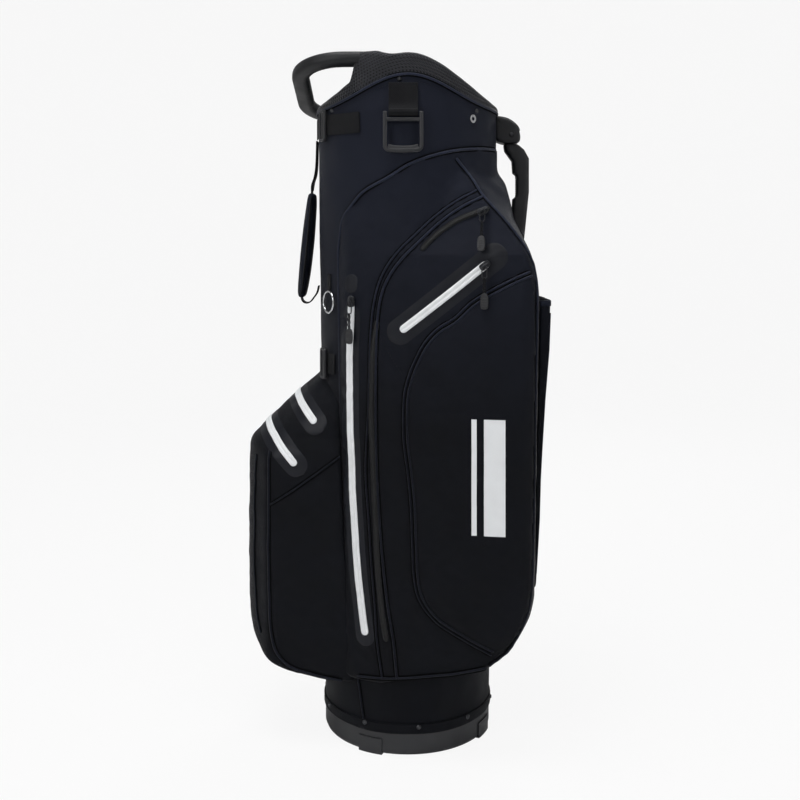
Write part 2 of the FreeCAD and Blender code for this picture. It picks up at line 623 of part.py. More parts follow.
def make_towel_ring():
    """The towel ring, the webbing tab that it hangs from, the cuff's rivets and the eyelet."""
    wide, bar = "sizes.towel_width", "sizes.towel_bar"
    top = "sizes.towel_hinge + 12"
    bottom = f"{top} - sizes.towel_height"
    ring_points = [
        (f"sizes.towel_x - {wide} / 2 + 3", bottom),
        (f"sizes.towel_x + {wide} / 2 - 3", bottom),
        (f"sizes.towel_x + {wide} / 2", f"{bottom} + 4"),
        (f"sizes.towel_x + {wide} / 2", top),
        (f"sizes.towel_x - {wide} / 2", top),
        (f"sizes.towel_x - {wide} / 2", f"{bottom} + 4"),
    ]
    body = padded_plate("towel_body", ring_points, bar, "XZ_Plane")
    inner = f"{wide} - 2 * {bar}"
    low_edge = f"{bottom} + 2 * {bar}"
    high_edge = f"sizes.towel_hinge - {bar} / 2"
    mid, tall = f"({low_edge} + {high_edge}) / 2", f"({high_edge}) - ({low_edge})"
    window(body, "towel_window", rectangle(inner, tall, "sizes.towel_x", mid), "XZ_Plane")
    slot_low = f"sizes.towel_hinge + {bar} / 2"
    slot_mid = f"({slot_low} + {top} + 2) / 2"
    slot_tall = f"({top} + 2) - ({slot_low})"
    tip = window(body, "towel_slot", rectangle(inner, slot_tall, "sizes.towel_x", slot_mid), "XZ_Plane")
    body.Tip = tip
    depth = tube_radius(size("tab_top")) + size("tab_thickness") + size("towel_bar") / 2 + 2 * size("gap")
    node(body, "towel_ring", Placement(Vector(0, -depth, 0), Rotation()))

    hinge = size("towel_hinge")
    tab = doc.addObject("Part::Box", "tab_strip")
    tab_low = hinge + size("towel_bar") / 2 + size("gap")
    bind(tab, Length="sizes.tab_width", Width="30",
         Height="sizes.tab_top - sizes.towel_hinge - sizes.towel_bar / 2 - sizes.gap")
    tab_front = -depth + size("towel_bar") / 2 + size("gap")
    tab.Placement = Placement(
        Vector(size("towel_x") - size("tab_width") / 2, tab_front, tab_low), Rotation()
    )
    node(cut("tab_seated", tab, tube_cone("tab_seat", "sizes.gap")), "towel_tab")

    rivets = []
    spots = ((-95, "tab_top", 6), (-43, "seam_low", -4), (-144, "seam_low", -2))
    for i, (angle, level, lift) in enumerate(spots):
        height = size(level) + lift
        out = Vector(math.cos(math.radians(angle)), math.sin(math.radians(angle)), 0)
        stand = tube_radius(height) + size("gap")
        rivets.append(rivet(f"cuff_rivet_{i}", out * stand + Vector(0, 0, height), out))
    node(group("rivets_on_cuff", rivets), "cuff_rivets")

    angle = math.radians(-47)
    out = Vector(math.cos(angle), math.sin(angle), 0)
    place = frame_place(out * (tube_radius(size("seam_low")) + size("gap")) + Vector(0, 0, 815),
                        Vector(0, 0, 1), out)
    disc = doc.addObject("Part::Cylinder", "eyelet_disc")
    bind(disc, Radius="sizes.eyelet_radius", Height="1.5")
    disc.Placement = place
    hole = doc.addObject("Part::Cylinder", "eyelet_hole")
    bind(hole, Radius="sizes.eyelet_radius * 0.45", Height="3")
    hole.Placement = place
    node(cut("eyelet_ring", disc, hole), "steel_eyelet")


def band_on_tube(name, centre, height, thickness, start, end, stand="sizes.gap"):
    """A flat strip that lies round part of the tube, between two directions in degrees."""
    low, high = f"{centre} - ({height}) / 2", f"{centre} + ({height}) / 2"
    outer = tube_cone(name + "_outer", f"{stand} + {thickness}", low, high)
    inner = tube_cone(name + "_inner", stand, low, high)
    outer.Angle = end - start
    inner.Angle = 360
    turn = Rotation(Vector(0, 0, 1), start)
    outer.Placement = Placement(Vector(0, 0, value(low)), turn)
    return cut(name, outer, inner)


def buckle(name, height_alias, angle):
    """A ladder buckle: a frame with one bar, standing on the webbing."""
    wide, tall = "sizes.buckle_width", "sizes.buckle_height"
    body = padded_plate(name + "_body", rectangle(wide, tall), "sizes.buckle_depth")
    half = f"({wide} - 9) / 2"
    for side in (-1, 1):
        x = f"{side} * ({half} / 2 + 1.5)"
        tip = window(body, f"{name}_slot_{side + 1}", rectangle(half, f"{tall} - 8", x))
    body.Tip = tip
    centre = size(height_alias)
    out = Vector(math.cos(math.radians(angle)), math.sin(math.radians(angle)), 0)
    side_way = Vector(-out.y, out.x, 0)
    lie = 2 * size("gap") + size("webbing_thickness") + 0.2
    stand = tube_radius(centre) + lie + size("buckle_depth") / 2
    return node(body, name, frame_place(out * stand + Vector(0, 0, centre), side_way, out))


def make_strap():
    """The carry strap at the front: anchor webbing, buckles, padded middle and its two webbing ends."""
    web = "sizes.webbing_thickness"
    node(band_on_tube("upper_web", "sizes.upper_web_z", "sizes.webbing_width", web, 180, 240),
         "upper_anchor_webbing")
    node(band_on_tube("lower_web", "sizes.lower_web_z", "sizes.webbing_width", web, 180, 217),
         "lower_anchor_webbing")
    buckle("upper_buckle", "upper_web_z", 208)
    buckle("lower_buckle", "lower_web_z", 205)

    face = size("tube_radius_top") + 0.5
    top, bottom = size("strap_pad_top"), size("strap_pad_bottom")
    thick, lean = size("strap_pad_thickness"), size("strap_lean")
    near = face + size("strap_gap") - 2
    pad_points = [
        (-near - thick / 2 - 3, top), (-near - thick / 2 + 3, top), (-near, top - 14),
        (-near - lean / 2 + 1, (top + bottom) / 2), (-near - lean, bottom + 8),
        (-near - lean - 3, bottom), (-near - lean - thick + 3, bottom),
        (-near - lean - thick, bottom + 8), (-near - lean / 2 - thick + 1, (top + bottom) / 2),
        (-near - thick, top - 14),
    ]
    pad = flat_strip("strap_pad_solid", pad_points, "sizes.strap_pad_width")
    node(pad, "strap_pad")

    thin = size("webbing_thickness")
    middle = -near - thick / 2
    high = size("upper_web_z") - size("webbing_width") / 2 - 2
    lie = -tube_radius(high) - 2 * size("gap") - 0.9
    upper = [(lie, high), (lie - thin, high), (lie - thin, top + 26),
             (middle - thin / 2, top + 10), (middle - thin / 2, top + 0.3),
             (middle + thin / 2, top + 0.3), (middle + thin / 2, top + 11), (lie, top + 28)]
    node(flat_strip("upper_end", upper, "sizes.webbing_width"), "strap_upper_webbing")

    tail = -near - lean - thick / 2
    root = -tube_radius(bottom) - 2 * size("gap") - 0.6
    lower = [(tail - thin / 2, bottom - 0.3), (tail - thin / 2, bottom - 5),
             (tail + 5, bottom - 11), (tail + 12, bottom - 9), (root - 4, bottom + 6),
             (root - thin, bottom + 16), (root, bottom + 16), (root, bottom + 10),
             (root - 2.4, bottom + 3), (tail + 13, bottom - 11.5), (tail + 4, bottom - 13.5),
             (tail - thin / 2 - 2, bottom - 7), (tail - thin / 2 - 2, bottom - 0.3)]
    node(flat_strip("lower_end", lower, "sizes.webbing_width - 4"), "strap_lower_webbing")


def flat_strip(name, points, width):
    """A strip whose long outline is seen from the side, evenly wide to both sides."""
    pairs = [(f"{x:.4f}", f"{z:.4f}") for x, z in points]
    body = padded_plate(name, pairs, width, "XZ_Plane")
    return body


def make_glove_ring():
    """The steel ring that a glove clips to, and its webbing tab."""
    angle = math.radians(size("glove_angle"))
    out = Vector(math.cos(angle), math.sin(angle), 0)
    level = size("glove_z")
    stand = tube_radius(level + size("glove_ring_radius")) + size("glove_wire_radius") + 3 * size("gap")
    ring = doc.addObject("Part::Torus", "glove_torus")
    bind(ring, Radius1="sizes.glove_ring_radius", Radius2="sizes.glove_wire_radius")
    node(ring, "glove_ring", frame_place(out * stand + Vector(0, 0, level), Vector(0, 0, 1), out))

    tab = doc.addObject("Part::Box", "glove_tab_strip")
    bind(tab, Length="20", Width="9", Height="1.6")
    top = level + size("glove_ring_radius") + size("glove_wire_radius") + size("gap")
    seat = tube_radius(top + 20) + size("gap")
    side_way = Vector(-out.y, out.x, 0)
    place = out * seat + Vector(0, 0, top) + side_way * 4.5
    strip = frame_place(place, Vector(0, 0, 1), out)
    tab.Placement = strip
    node(tab, "glove_ring_tab")


def make_ball_pocket():
    """The ball pocket: a crowned, sloping top on an upright box, open to the tube behind it."""
    slope = math.atan2(size("ball_top") - size("ball_shoulder"), size("ball_reach") - 118)
    solids = []
    for name, inset in (("ball_out", "0"), ("ball_in", "sizes.pocket_wall")):
        reach = f"-sizes.ball_reach + ({inset})"
        low = f"sizes.ball_bottom + ({inset})"
        side = [
            ("0", f"sizes.ball_top + 105 - ({inset})"),
            ("-118", f"sizes.ball_top - ({inset})"),
            ("-145", f"sizes.ball_top - 16 - ({inset})"),
            (f"{reach} + 43", f"sizes.ball_shoulder + 50 - ({inset})"),
            (f"{reach} + 11", f"sizes.ball_shoulder + 16 - ({inset})"),
            (reach, "sizes.ball_shoulder"),
            (reach, "230"),
            (f"{reach} + 5", f"{low} + 64"),
            (f"{reach} + 14", f"{low} + 38"),
            (f"{reach} + 32", f"{low} + 20"),
            (f"{reach} + 62", f"{low} + 7"),
            (f"{reach} + 106", low),
            ("0", low),
        ]
        half, root = f"sizes.ball_half_width - ({inset})", f"sizes.ball_root_half_width - ({inset})"
        plan = [
            ("-60", "-60"),
            (f"-sizes.side_left - sizes.overlay - sizes.gap - ({inset})", "-70"),
            (f"-sizes.side_left - sizes.overlay - sizes.gap - ({inset})", f"-({root})"),
            (f"{reach} + 32", f"-({half})"),
            (f"{reach} + 7", f"-({half}) * 0.55"),
            (reach, "-12"),
            (reach, "12"),
            (f"{reach} + 7", f"({half}) * 0.55"),
            (f"{reach} + 32", f"({half})"),
            (f"-sizes.side_left - sizes.overlay - sizes.gap - ({inset})", root),
            (f"-sizes.side_left - sizes.overlay - sizes.gap - ({inset})", "70"),
            ("-60", "60"),
        ]
        wide = "2 * sizes.ball_root_half_width + 40"
        from_side = prism(name + "_side", SIDE, side, "-sizes.ball_root_half_width - 20", wide)
        from_top = prism(name + "_plan", FLAT, plan, "sizes.ball_bottom - 5", "600")
        crown = doc.addObject("Part::Cylinder", name + "_crown")
        bind(crown, Radius=f"sizes.ball_crown - ({inset})", Height="500")
        crown.Placement = crown_place(slope, -250)
        below = doc.addObject("Part::Box", name + "_below")
        bind(below, Length="sizes.ball_reach + 10", Width=wide, Height="sizes.ball_shoulder - sizes.ball_bottom - 32")
        bind(
            below,
            Placement__Base__x="-sizes.ball_reach - 10",
            Placement__Base__y="-sizes.ball_root_half_width - 20",
            Placement__Base__z="sizes.ball_bottom - 10",
        )
        room = fuse(name + "_room", crown, below)
        solids.append(common(name, from_side, from_top, room))
    shell = cut("ball_shell", solids[0], solids[1])
    node(cut("ball_seated", shell, tube_cone("ball_seat", "sizes.gap")), "ball_pocket")

    travel = size("ball_zip_gap") / math.cos(slope)
    for name, along, half_angle in (("ball_upper_zip", 0, 60), ("ball_lower_zip", -travel, 76)):
        arc_zip(name, slope, along, half_angle)


def crown_place(slope, along):
    """On the crown's axis, at a distance along it from under the upper zip; local z is the axis."""
    run = Vector(math.cos(slope), 0, math.sin(slope))
    up = Vector(-math.sin(slope), 0, math.cos(slope))
    drop = size("ball_zip_x") - 118
    ridge = Vector(-size("ball_zip_x"), 0, size("ball_top") - drop * math.tan(slope))
    centre = ridge - up * size("ball_crown") + run * along
    return frame_place(centre, up, run)


def arc_zip(name, slope, along, half_angle):
    """A zip that runs round the crown, with its slider parked at the far end."""
    width = size("zip_width")
    place = crown_place(slope, along - width / 2)
    outer = doc.addObject("Part::Cylinder", name + "_outer")
    bind(outer, Radius="sizes.ball_crown + sizes.gap + sizes.zip_thickness", Height="sizes.zip_width")
    outer.Angle = 2 * half_angle
    outer.Placement = place.multiply(Placement(Vector(), Rotation(Vector(0, 0, 1), -half_angle)))
    inner = doc.addObject("Part::Cylinder", name + "_inner")
    bind(inner, Radius="sizes.ball_crown + sizes.gap", Height="sizes.zip_width + 2")
    inner.Placement = place.multiply(Placement(Vector(0, 0, -1), Rotation()))
    node(cut(name + "_strip", outer, inner), name + "_tape")

    # local x is up from the axis, so the far side is at a negative angle about the run
    turn = Rotation(Vector(0, 0, 1), -half_angle + 8)
    middle = crown_place(slope, along)
    out = middle.Rotation.multVec(turn.multVec(Vector(1, 0, 0)))
    way = middle.Rotation.multVec(turn.multVec(Vector(0, 1, 0)))
    stand = size("ball_crown") + 2 * size("gap") + size("zip_thickness")
    foot = middle.Base + out * stand
    slider_and_pull(name, foot, way, out)


def slider_and_pull(name, foot, way, outward):
    """A slider on a zip and the pull that hangs from it; foot is the middle of the slider's underside."""
    width, length, height = "sizes.slider_width", "sizes.slider_length", "sizes.slider_height"
    body = padded_plate(name + "_slider_body", rectangle(length, width), height)
    place = frame_place(foot + outward * size("slider_height") / 2, way, outward)
    node(body, name + "_slider", place)

    long, tab = "sizes.pull_length", "sizes.pull_tab_length"
    half = "sizes.pull_tab_width / 2"
    points = [
        ("-3.5", "0.8"),
        ("-3.5", "-15"),
        ("-1", "-17"),
        ("-1", f"-{long} + {tab}"),
        (f"-{half}", f"-{long} + {tab} - 2"),
        (f"-{half}", f"-{long}"),
        (half, f"-{long}"),
        (half, f"-{long} + {tab} - 2"),
        ("1", f"-{long} + {tab}"),
        ("1", "-17"),
        ("3.5", "-15"),
        ("3.5", "0.8"),
    ]
    pull = padded_plate(name + "_pull_body", points, "sizes.pull_thickness")
    hang = hang_way(outward)
    stand = size("slider_height") + size("pull_thickness") / 2 + size("gap")
    across = hang.cross(outward)
    node(pull, name + "_pull", frame_place(foot + outward * stand, -across, outward))


def hang_way(outward):
    """The way a pull hangs: straight down, but flat along the face that it lies on."""
    down = Vector(0, 0, -1)
    return (down - outward * down.dot(outward)).normalize()


def side_face(x, z, sign):
    """A point on a side pocket's leaning face and the face's outward normal."""
    knots = [(-size("side_front_x"), size("side_front_depth")),
             (-size("side_crease_x"), size("side_crease_depth")),
             (size("side_deep_x"), size("side_depth"))]
    first, second = (knots[0], knots[1]) if x < knots[1][0] else (knots[1], knots[2])
    rate = (second[1] - first[1]) / (second[0] - first[0])
    depth = first[1] + rate * (x - first[0])
    lean_rate = size("side_lean") / (size("side_top") - size("side_shoulder")) * math.hypot(1, rate)
    leaning = z > size("side_shoulder")
    if leaning:
        depth -= lean_rate * (z - size("side_shoulder"))
    normal = Vector(-rate, sign, lean_rate if leaning else 0)
    return Vector(x, sign * depth, z), normal.normalize()


def straight_zip(name, low, high, sign, parked):
    """A straight zip between two (x, z) points of a side face; parked is 0 at its low end, 1 at its high,
    and None where the slider is tucked out of sight and isn't made."""
    start, normal = side_face(low[0], low[1], sign)
    end, end_normal = side_face(high[0], high[1], sign)
    outward = (normal + end_normal).normalize()
    lift = size("gap") + 0.5
    run = end - start
    strip = doc.addObject("Part::Box", name + "_strip")
    bind(strip, Width="sizes.zip_width", Height="sizes.zip_thickness")
    strip.Length = run.Length
    place = frame_place(start + outward * lift, run, outward)
    out = place.Rotation.multVec(Vector(0, 0, 1))
    across = place.Rotation.multVec(Vector(0, 1, 0))
    strip.Placement = Placement(place.Base - across * size("zip_width") / 2, place.Rotation)
    node(strip, name + "_tape")
    if parked is None:
        return
    margin = size("slider_length") * 0.7 / run.Length
    share = margin + (1 - 2 * margin) * parked
    foot = start + run * share + out * (lift + size("zip_thickness") + size("gap"))
    slider_and_pull(name, foot, run, out)


def side_outlines(sign, label):
    """A side pocket's outer and inner outlines, each as one prism from the side and one from the top."""
    solids = []
    for name, inset in (("side_out", "0"), ("side_in", "sizes.pocket_wall")):
        plan = [
            ("-sizes.side_crease_x", f"{sign} * 55"),
            (f"-sizes.side_left + ({inset})", f"{sign} * (sizes.side_left_depth - ({inset}))"),
            (f"-sizes.side_front_x + ({inset})", f"{sign} * (sizes.side_front_depth - ({inset}))"),
            ("-sizes.side_crease_x", f"{sign} * (sizes.side_crease_depth - ({inset}))"),
            ("sizes.side_deep_x", f"{sign} * (sizes.side_depth - ({inset}))"),
            (f"sizes.side_reach - 7 - ({inset})", f"{sign} * (sizes.side_depth - 10 - ({inset}))"),
            (f"sizes.side_reach - ({inset})", f"{sign} * (sizes.side_depth - 32)"),
            (f"sizes.side_reach - ({inset})", f"{sign} * (sizes.side_channel + ({inset}))"),
            ("90", f"{sign} * (sizes.side_channel + ({inset}))"),
        ]
        if sign > 0:
            plan = plan[::-1]
        side = [
            (f"-sizes.side_left + 23 + ({inset})", f"sizes.side_bottom + ({inset})"),
            (f"sizes.side_reach - 66", f"sizes.side_bottom + ({inset})"),
            (f"sizes.side_reach - 26 - ({inset})", f"sizes.side_bottom + 22 + ({inset})"),
            (f"sizes.side_reach - 8 - ({inset})", f"sizes.side_bottom + 58 + ({inset})"),
            (f"sizes.side_reach - ({inset})", f"sizes.side_bottom + 105"),
            (f"sizes.side_reach - ({inset})", "sizes.side_edge_top"),
            (f"sizes.side_reach - 13 - ({inset})", "sizes.side_edge_top + 28"),
            (f"sizes.side_reach - 50 - ({inset})", "sizes.side_edge_top + 105"),
            (f"sizes.side_reach - 68 - ({inset})", f"sizes.side_top - ({inset})"),
            ("20", f"sizes.side_top - 10 - ({inset})"),
            ("-30", f"sizes.side_top - 30 - ({inset})"),
            ("-62", f"sizes.side_top - 75 - ({inset})"),
            (f"-sizes.side_left - sizes.overlay + ({inset})", f"sizes.side_top - 135 - ({inset})"),
            (f"-sizes.side_left - sizes.overlay + ({inset})", f"sizes.side_bottom + 300"),
            (f"-sizes.side_left + 8 + ({inset})", f"sizes.side_bottom + 100"),
        ]
        depth = "sizes.side_depth + 20"
        start = "sizes.side_channel" if sign < 0 else f"-sizes.side_channel - ({depth})"
        from_side = prism(f"{label}_{name}_side", SIDE, side, start, depth)
        from_top = prism(f"{label}_{name}_plan", FLAT, plan, "sizes.side_bottom - 5", "900")
        solids.append((from_side, from_top))
    return solids


def lean_cut(name, base, sign, inset):
    """Take away what stands proud of the leaning upper face."""
    rate = "(sizes.side_depth - sizes.side_crease_depth) / (sizes.side_deep_x + sizes.side_crease_x)"
    block = prism(
        name + "_wedge",
        FRONT,
        [
            (f"{sign} * (sizes.side_crease_depth - ({inset}))", "sizes.side_shoulder"),
            (f"{sign} * (sizes.side_crease_depth + 200)", "sizes.side_shoulder"),
            (f"{sign} * (sizes.side_crease_depth + 200)", "sizes.side_top + 20"),
            (f"{sign} * (sizes.side_crease_depth - sizes.side_lean * (1 + 20 / "
             f"(sizes.side_top - sizes.side_shoulder)) - ({inset}))", "sizes.side_top + 20"),
        ],
        "-260",
        "560",
    )
    angle = math.degrees(math.atan(value(rate)))
    pivot = Vector(-size("side_crease_x"), sign * size("side_crease_depth"), 0)
    turn = Placement(Vector(), Rotation(Vector(0, 0, 1), sign * angle), pivot)
    holder = doc.addObject("Part::Compound", name + "_wedge_turned")
    holder.Links = [block]
    holder.Placement = turn
    return cut(name, base, holder)


def make_side_pockets():
    """Both side pockets, their zips, and the flat sleeve at the back."""
    for sign, label in ((-1, "near"), (1, "far")):
        outer, inner = side_outlines(sign, label)
        box = common(f"{label}_box", outer[0], outer[1])
        leaning = lean_cut(f"{label}_box_lean", box, sign, "0")
        skin = common(
            f"{label}_skin",
            outer[0],
            tube_cone(f"{label}_skin_cone", "sizes.gap + sizes.overlay"),
        )
        hollow = lean_cut(
            f"{label}_hollow_lean", common(f"{label}_hollow", inner[0], inner[1]), sign, "sizes.pocket_wall"
        )
        whole = fuse(f"{label}_whole", leaning, skin)
        shell = cut(f"{label}_shell", whole, hollow)
        name = "near_side_pocket" if sign < 0 else "far_side_pocket"
        node(cut(f"{label}_seated", shell, tube_cone(f"{label}_seat", "sizes.gap")), name)

    outer, wall = "2 * sizes.sleeve_half_width", "sizes.sleeve_wall"
    start = "sizes.side_reach + sizes.gap"
    sleeve = doc.addObject("PartDesign::Body", "sleeve_body")
    sketch = body_sketch(sleeve, "sleeve_outline", "XY_Plane")
    close_loop(sketch, rectangle("sizes.sleeve_depth", outer, f"{start} + sizes.sleeve_depth / 2"))
    pad = sleeve.newObject("PartDesign::Pad", "sleeve_pad")
    pad.Profile = sketch
    bind(pad, Length="sizes.sleeve_top - sizes.sleeve_bottom")
    room = body_sketch(sleeve, "sleeve_room", "XY_Plane")
    close_loop(room, rectangle(f"sizes.sleeve_depth - 2 * {wall}", f"{outer} - 2 * {wall}",
                               f"{start} + sizes.sleeve_depth / 2"))
    room.AttachmentOffset = Placement(Vector(0, 0, size("sleeve_wall")), Rotation())
    hollow = sleeve.newObject("PartDesign::Pocket", "sleeve_hollow")
    hollow.Profile = room
    hollow.Reversed = True
    bind(hollow, Length="sizes.sleeve_top")
    node(sleeve, "back_sleeve", Placement(Vector(0, 0, size("sleeve_bottom")), Rotation()))

    straight_zip("long_zip", (-54, 153), (-71, 590), -1, 1)
    straight_zip("slant_zip", (-8, 543), (104, 633), -1, 1)
    straight_zip("valuables_zip", (22, 650), (104, 698), -1, 1)
    straight_zip("inner_zip", (-27, 150), (-39.5, 556), -1, None)
    straight_zip("far_zip", (-54, 153), (-71, 590), 1, 1)


def check_and_write():
    """Stop if anything failed, then write each sub-part."""
    doc.recompute()
    for thing in doc.Objects:
        if "Invalid" in thing.State or "Error" in thing.State:
            raise RuntimeError(f"{thing.Name} failed: {thing.State}")
    for name, thing in nodes.items():
        shape = thing.Shape
        if shape.isNull() or not shape.isValid() or not shape.Solids:
            raise RuntimeError(f"{name} has no valid solid")
    os.makedirs("parts", exist_ok=True)
    for name, thing in nodes.items():
        thing.Shape.exportStep(f"parts/{name}.step")


make_base()
make_tube()
make_dividers()
make_cuff()
make_lift_handle()
make_towel_ring()
make_strap()
make_glove_ring()
make_ball_pocket()
make_side_pockets()
check_and_write()
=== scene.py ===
import json
import math

import bmesh
import bpy
import numpy as np
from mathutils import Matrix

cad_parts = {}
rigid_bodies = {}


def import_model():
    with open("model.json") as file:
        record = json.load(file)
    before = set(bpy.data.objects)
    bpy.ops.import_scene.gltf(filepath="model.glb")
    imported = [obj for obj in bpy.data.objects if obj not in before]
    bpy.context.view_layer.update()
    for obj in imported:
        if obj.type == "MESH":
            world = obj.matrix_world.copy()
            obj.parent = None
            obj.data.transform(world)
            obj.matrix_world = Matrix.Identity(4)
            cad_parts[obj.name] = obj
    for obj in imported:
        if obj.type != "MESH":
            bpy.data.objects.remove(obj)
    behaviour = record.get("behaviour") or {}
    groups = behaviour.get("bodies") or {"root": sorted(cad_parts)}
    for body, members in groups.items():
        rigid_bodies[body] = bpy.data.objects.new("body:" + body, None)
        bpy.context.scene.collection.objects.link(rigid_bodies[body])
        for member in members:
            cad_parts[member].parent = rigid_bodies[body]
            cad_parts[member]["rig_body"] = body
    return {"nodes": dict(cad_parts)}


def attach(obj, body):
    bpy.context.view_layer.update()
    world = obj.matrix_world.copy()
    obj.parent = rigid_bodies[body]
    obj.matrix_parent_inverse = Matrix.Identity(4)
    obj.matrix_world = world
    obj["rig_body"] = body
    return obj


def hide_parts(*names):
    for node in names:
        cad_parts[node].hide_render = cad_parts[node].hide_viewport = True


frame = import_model()

bl_info = {
    "name": "Golf Cart Bag",
    "version": (1, 0, 0),
    "blender": (4, 5, 0),
    "location": "3D View > Sidebar > Cart Bag",
    "description": "Sews, moulds and fits an upright golf cart bag on its frame",
    "category": "Add Mesh",
}

# The bag stands on z = 0 and its axis is z. -x is the front with the ball pocket, -y the side with
# the towel ring. Shapes are worked out in millimetres and written to meshes in metres.
MM = 0.001
FAR_OUT = 400.0


def linear(colour):
    """A linear colour with alpha from an sRGB hex value."""
    shares = [int(colour[i : i + 2], 16) / 255 for i in (1, 3, 5)]
    return tuple(s / 12.92 if s <= 0.04045 else ((s + 0.055) / 1.055) ** 2.4 for s in shares) + (1.0,)


def colour_setting(name, description, colour):
    """A colour that a user may change, shown as a swatch."""
    return bpy.props.FloatVectorProperty(
        name=name, description=description, default=linear(colour), size=4, min=0, max=1, subtype="COLOR"
    )


def length_setting(name, description, default):
    """A length in metres that a user may change."""
    return bpy.props.FloatProperty(
        name=name, description=description, default=default, min=0, unit="LENGTH", precision=4
    )


class BagColours(bpy.types.PropertyGroup):
    fabric: colour_setting("Fabric", "Waterproof polyester of the tube and pockets", "#0B0D14")
    fabric_dark: colour_setting("Fabric shade", "The darker threads of the same cloth", "#08090C")
    mesh: colour_setting("Spacer mesh", "Padded mesh round the mouth", "#26272C")
    lining: colour_setting("Lining", "Divider panels and inside of the tube", "#17181B")
    webbing: colour_setting("Webbing", "Straps, tabs and bindings", "#0C0D12")
    plastic: colour_setting("Moulded plastic", "Base, handles, ring and buckles", "#1C1D21")
    film: colour_setting("Film", "Welded film round the zips", "#11131A")
    zip_white: colour_setting("Pale zip", "Coated water-resistant zip", "#DFE1E3")
    zip_black: colour_setting("Dark zip", "Nylon coil zip", "#0E0F11")
    print_white: colour_setting("Print", "Plain bars on the large pocket", "#E2E4E6")


class BagSizes(bpy.types.PropertyGroup):
    piping: length_setting("Piping", "Radius of the sewn piping", 0.0017)
    weave: length_setting("Weave", "Distance between the cloth's threads", 0.0013)
    mesh_cell: length_setting("Mesh cell", "Distance between the mesh's holes", 0.0046)
    rib_pitch: length_setting("Grip ribs", "Distance between the ribs on the grips", 0.0036)
    pocket_fill: length_setting("Pocket fill", "How far the large pocket stands proud", 0.0045)
    film_margin: length_setting("Film margin", "Film beside each pale zip", 0.011)


def settings():
    """The colours and the sizes that the panel shows."""
    return bpy.context.scene.bag_colours, bpy.context.scene.bag_sizes


# ---------------------------------------------------------------- shapes


def lengths(points, axis):
    """Running length in metres along one direction of a grid of points."""
    run = np.cumsum(np.linalg.norm(np.diff(points, axis=axis), axis=2), axis=axis) * MM
    return np.concatenate([np.zeros_like(np.take(run, [0], axis=axis)), run], axis=axis)


class Surface:
    """Grids of points, in millimetres, gathered into one mesh."""

    def __init__(self):
        self.points, self.faces, self.uvs, self.slots = [], [], [], []
        self.total = 0

    def grid(self, points, wrap_u=False, wrap_v=False, slot=0):
        """Quads between neighbours of a (u, v) grid; its UV map is the length run along u and v."""
        p = np.asarray(points, float)
        if wrap_u:
            p = np.concatenate([p, p[:1]], 0)
        if wrap_v:
            p = np.concatenate([p, p[:, :1]], 1)
        ids = np.arange(p.shape[0] * p.shape[1]).reshape(p.shape[:2])
        quads = np.stack([ids[:-1, :-1], ids[1:, :-1], ids[1:, 1:], ids[:-1, 1:]], -1).reshape(-1, 4)
        uv = np.stack([lengths(p, 0), lengths(p, 1)], -1).reshape(-1, 2)
        self.points.append(p.reshape(-1, 3))
        self.uvs.append(uv[quads].reshape(-1, 2))
        self.faces.append(quads + self.total)
        self.slots.append(np.full(len(quads), slot))
        self.total += len(self.points[-1])
        return self

    def tube(self, rings, wrap_path=False, slot=0):
        """A closed bar: rings of points along a path, drawn together to a point at each open end."""
        rings = np.asarray(rings, float)
        if not wrap_path:
            start, end = rings[:1].mean(1, keepdims=True), rings[-1:].mean(1, keepdims=True)
            shape = (1, rings.shape[1], 3)
            rings = np.concatenate([np.broadcast_to(start, shape), rings, np.broadcast_to(end, shape)])
        return self.grid(rings, wrap_u=wrap_path, wrap_v=True, slot=slot)

    def build(self, name, materials, body="bag", replaces=(), slot=None, outward_from=None):
        """The mesh object. Closed shapes are turned outwards; an open sheet is turned away from a point."""
        mesh = bpy.data.meshes.new(name)
        faces = np.concatenate(self.faces)
        mesh.vertices.add(self.total)
        mesh.vertices.foreach_set("co", (np.concatenate(self.points) * MM).ravel())
        mesh.loops.add(faces.size)
        mesh.loops.foreach_set("vertex_index", faces.ravel())
        mesh.polygons.add(len(faces))
        mesh.polygons.foreach_set("loop_start", np.arange(0, faces.size, 4))
        mesh.polygons.foreach_set("material_index", np.concatenate(self.slots))
        mesh.polygons.foreach_set("use_smooth", np.ones(len(faces), bool))
        uv = mesh.uv_layers.new(name="UVMap")
        uv.data.foreach_set("uv", np.concatenate(self.uvs).ravel())
        mesh.update(calc_edges=True)
        work = bmesh.new()
        work.from_mesh(mesh)
        bmesh.ops.remove_doubles(work, verts=work.verts, dist=1e-6)
        if outward_from is None:
            bmesh.ops.recalc_face_normals(work, faces=work.faces)
        else:
            middle = np.array(outward_from) * MM
            work.normal_update()
            facing = sum(f.normal.dot(f.calc_center_median() - type(f.normal)(middle)) * f.calc_area() for f in work.faces)
            if facing < 0:
                bmesh.ops.reverse_faces(work, faces=work.faces)
        work.to_mesh(mesh)
        work.free()
        thing = bpy.data.objects.new(name, mesh)
        bpy.context.collection.objects.link(thing)
        for finish in materials if isinstance(materials, (list, tuple)) else [materials]:
            mesh.materials.append(finish)
        return fit(thing, body, replaces)


def fit(thing, body="bag", replaces=()):
    """Rides a piece on its body and hides the CAD nodes that it stands for."""
    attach(thing, body)
    if replaces:
        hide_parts(*replaces)
    return thing


def thicken(thing, thickness, offset=-1.0):
    """Gives a sheet its real thickness, in millimetres, inwards unless offset says otherwise."""
    wall = thing.modifiers.new("wall", "SOLIDIFY")
    wall.thickness, wall.offset, wall.use_even_offset = thickness * MM, offset, True
    return thing


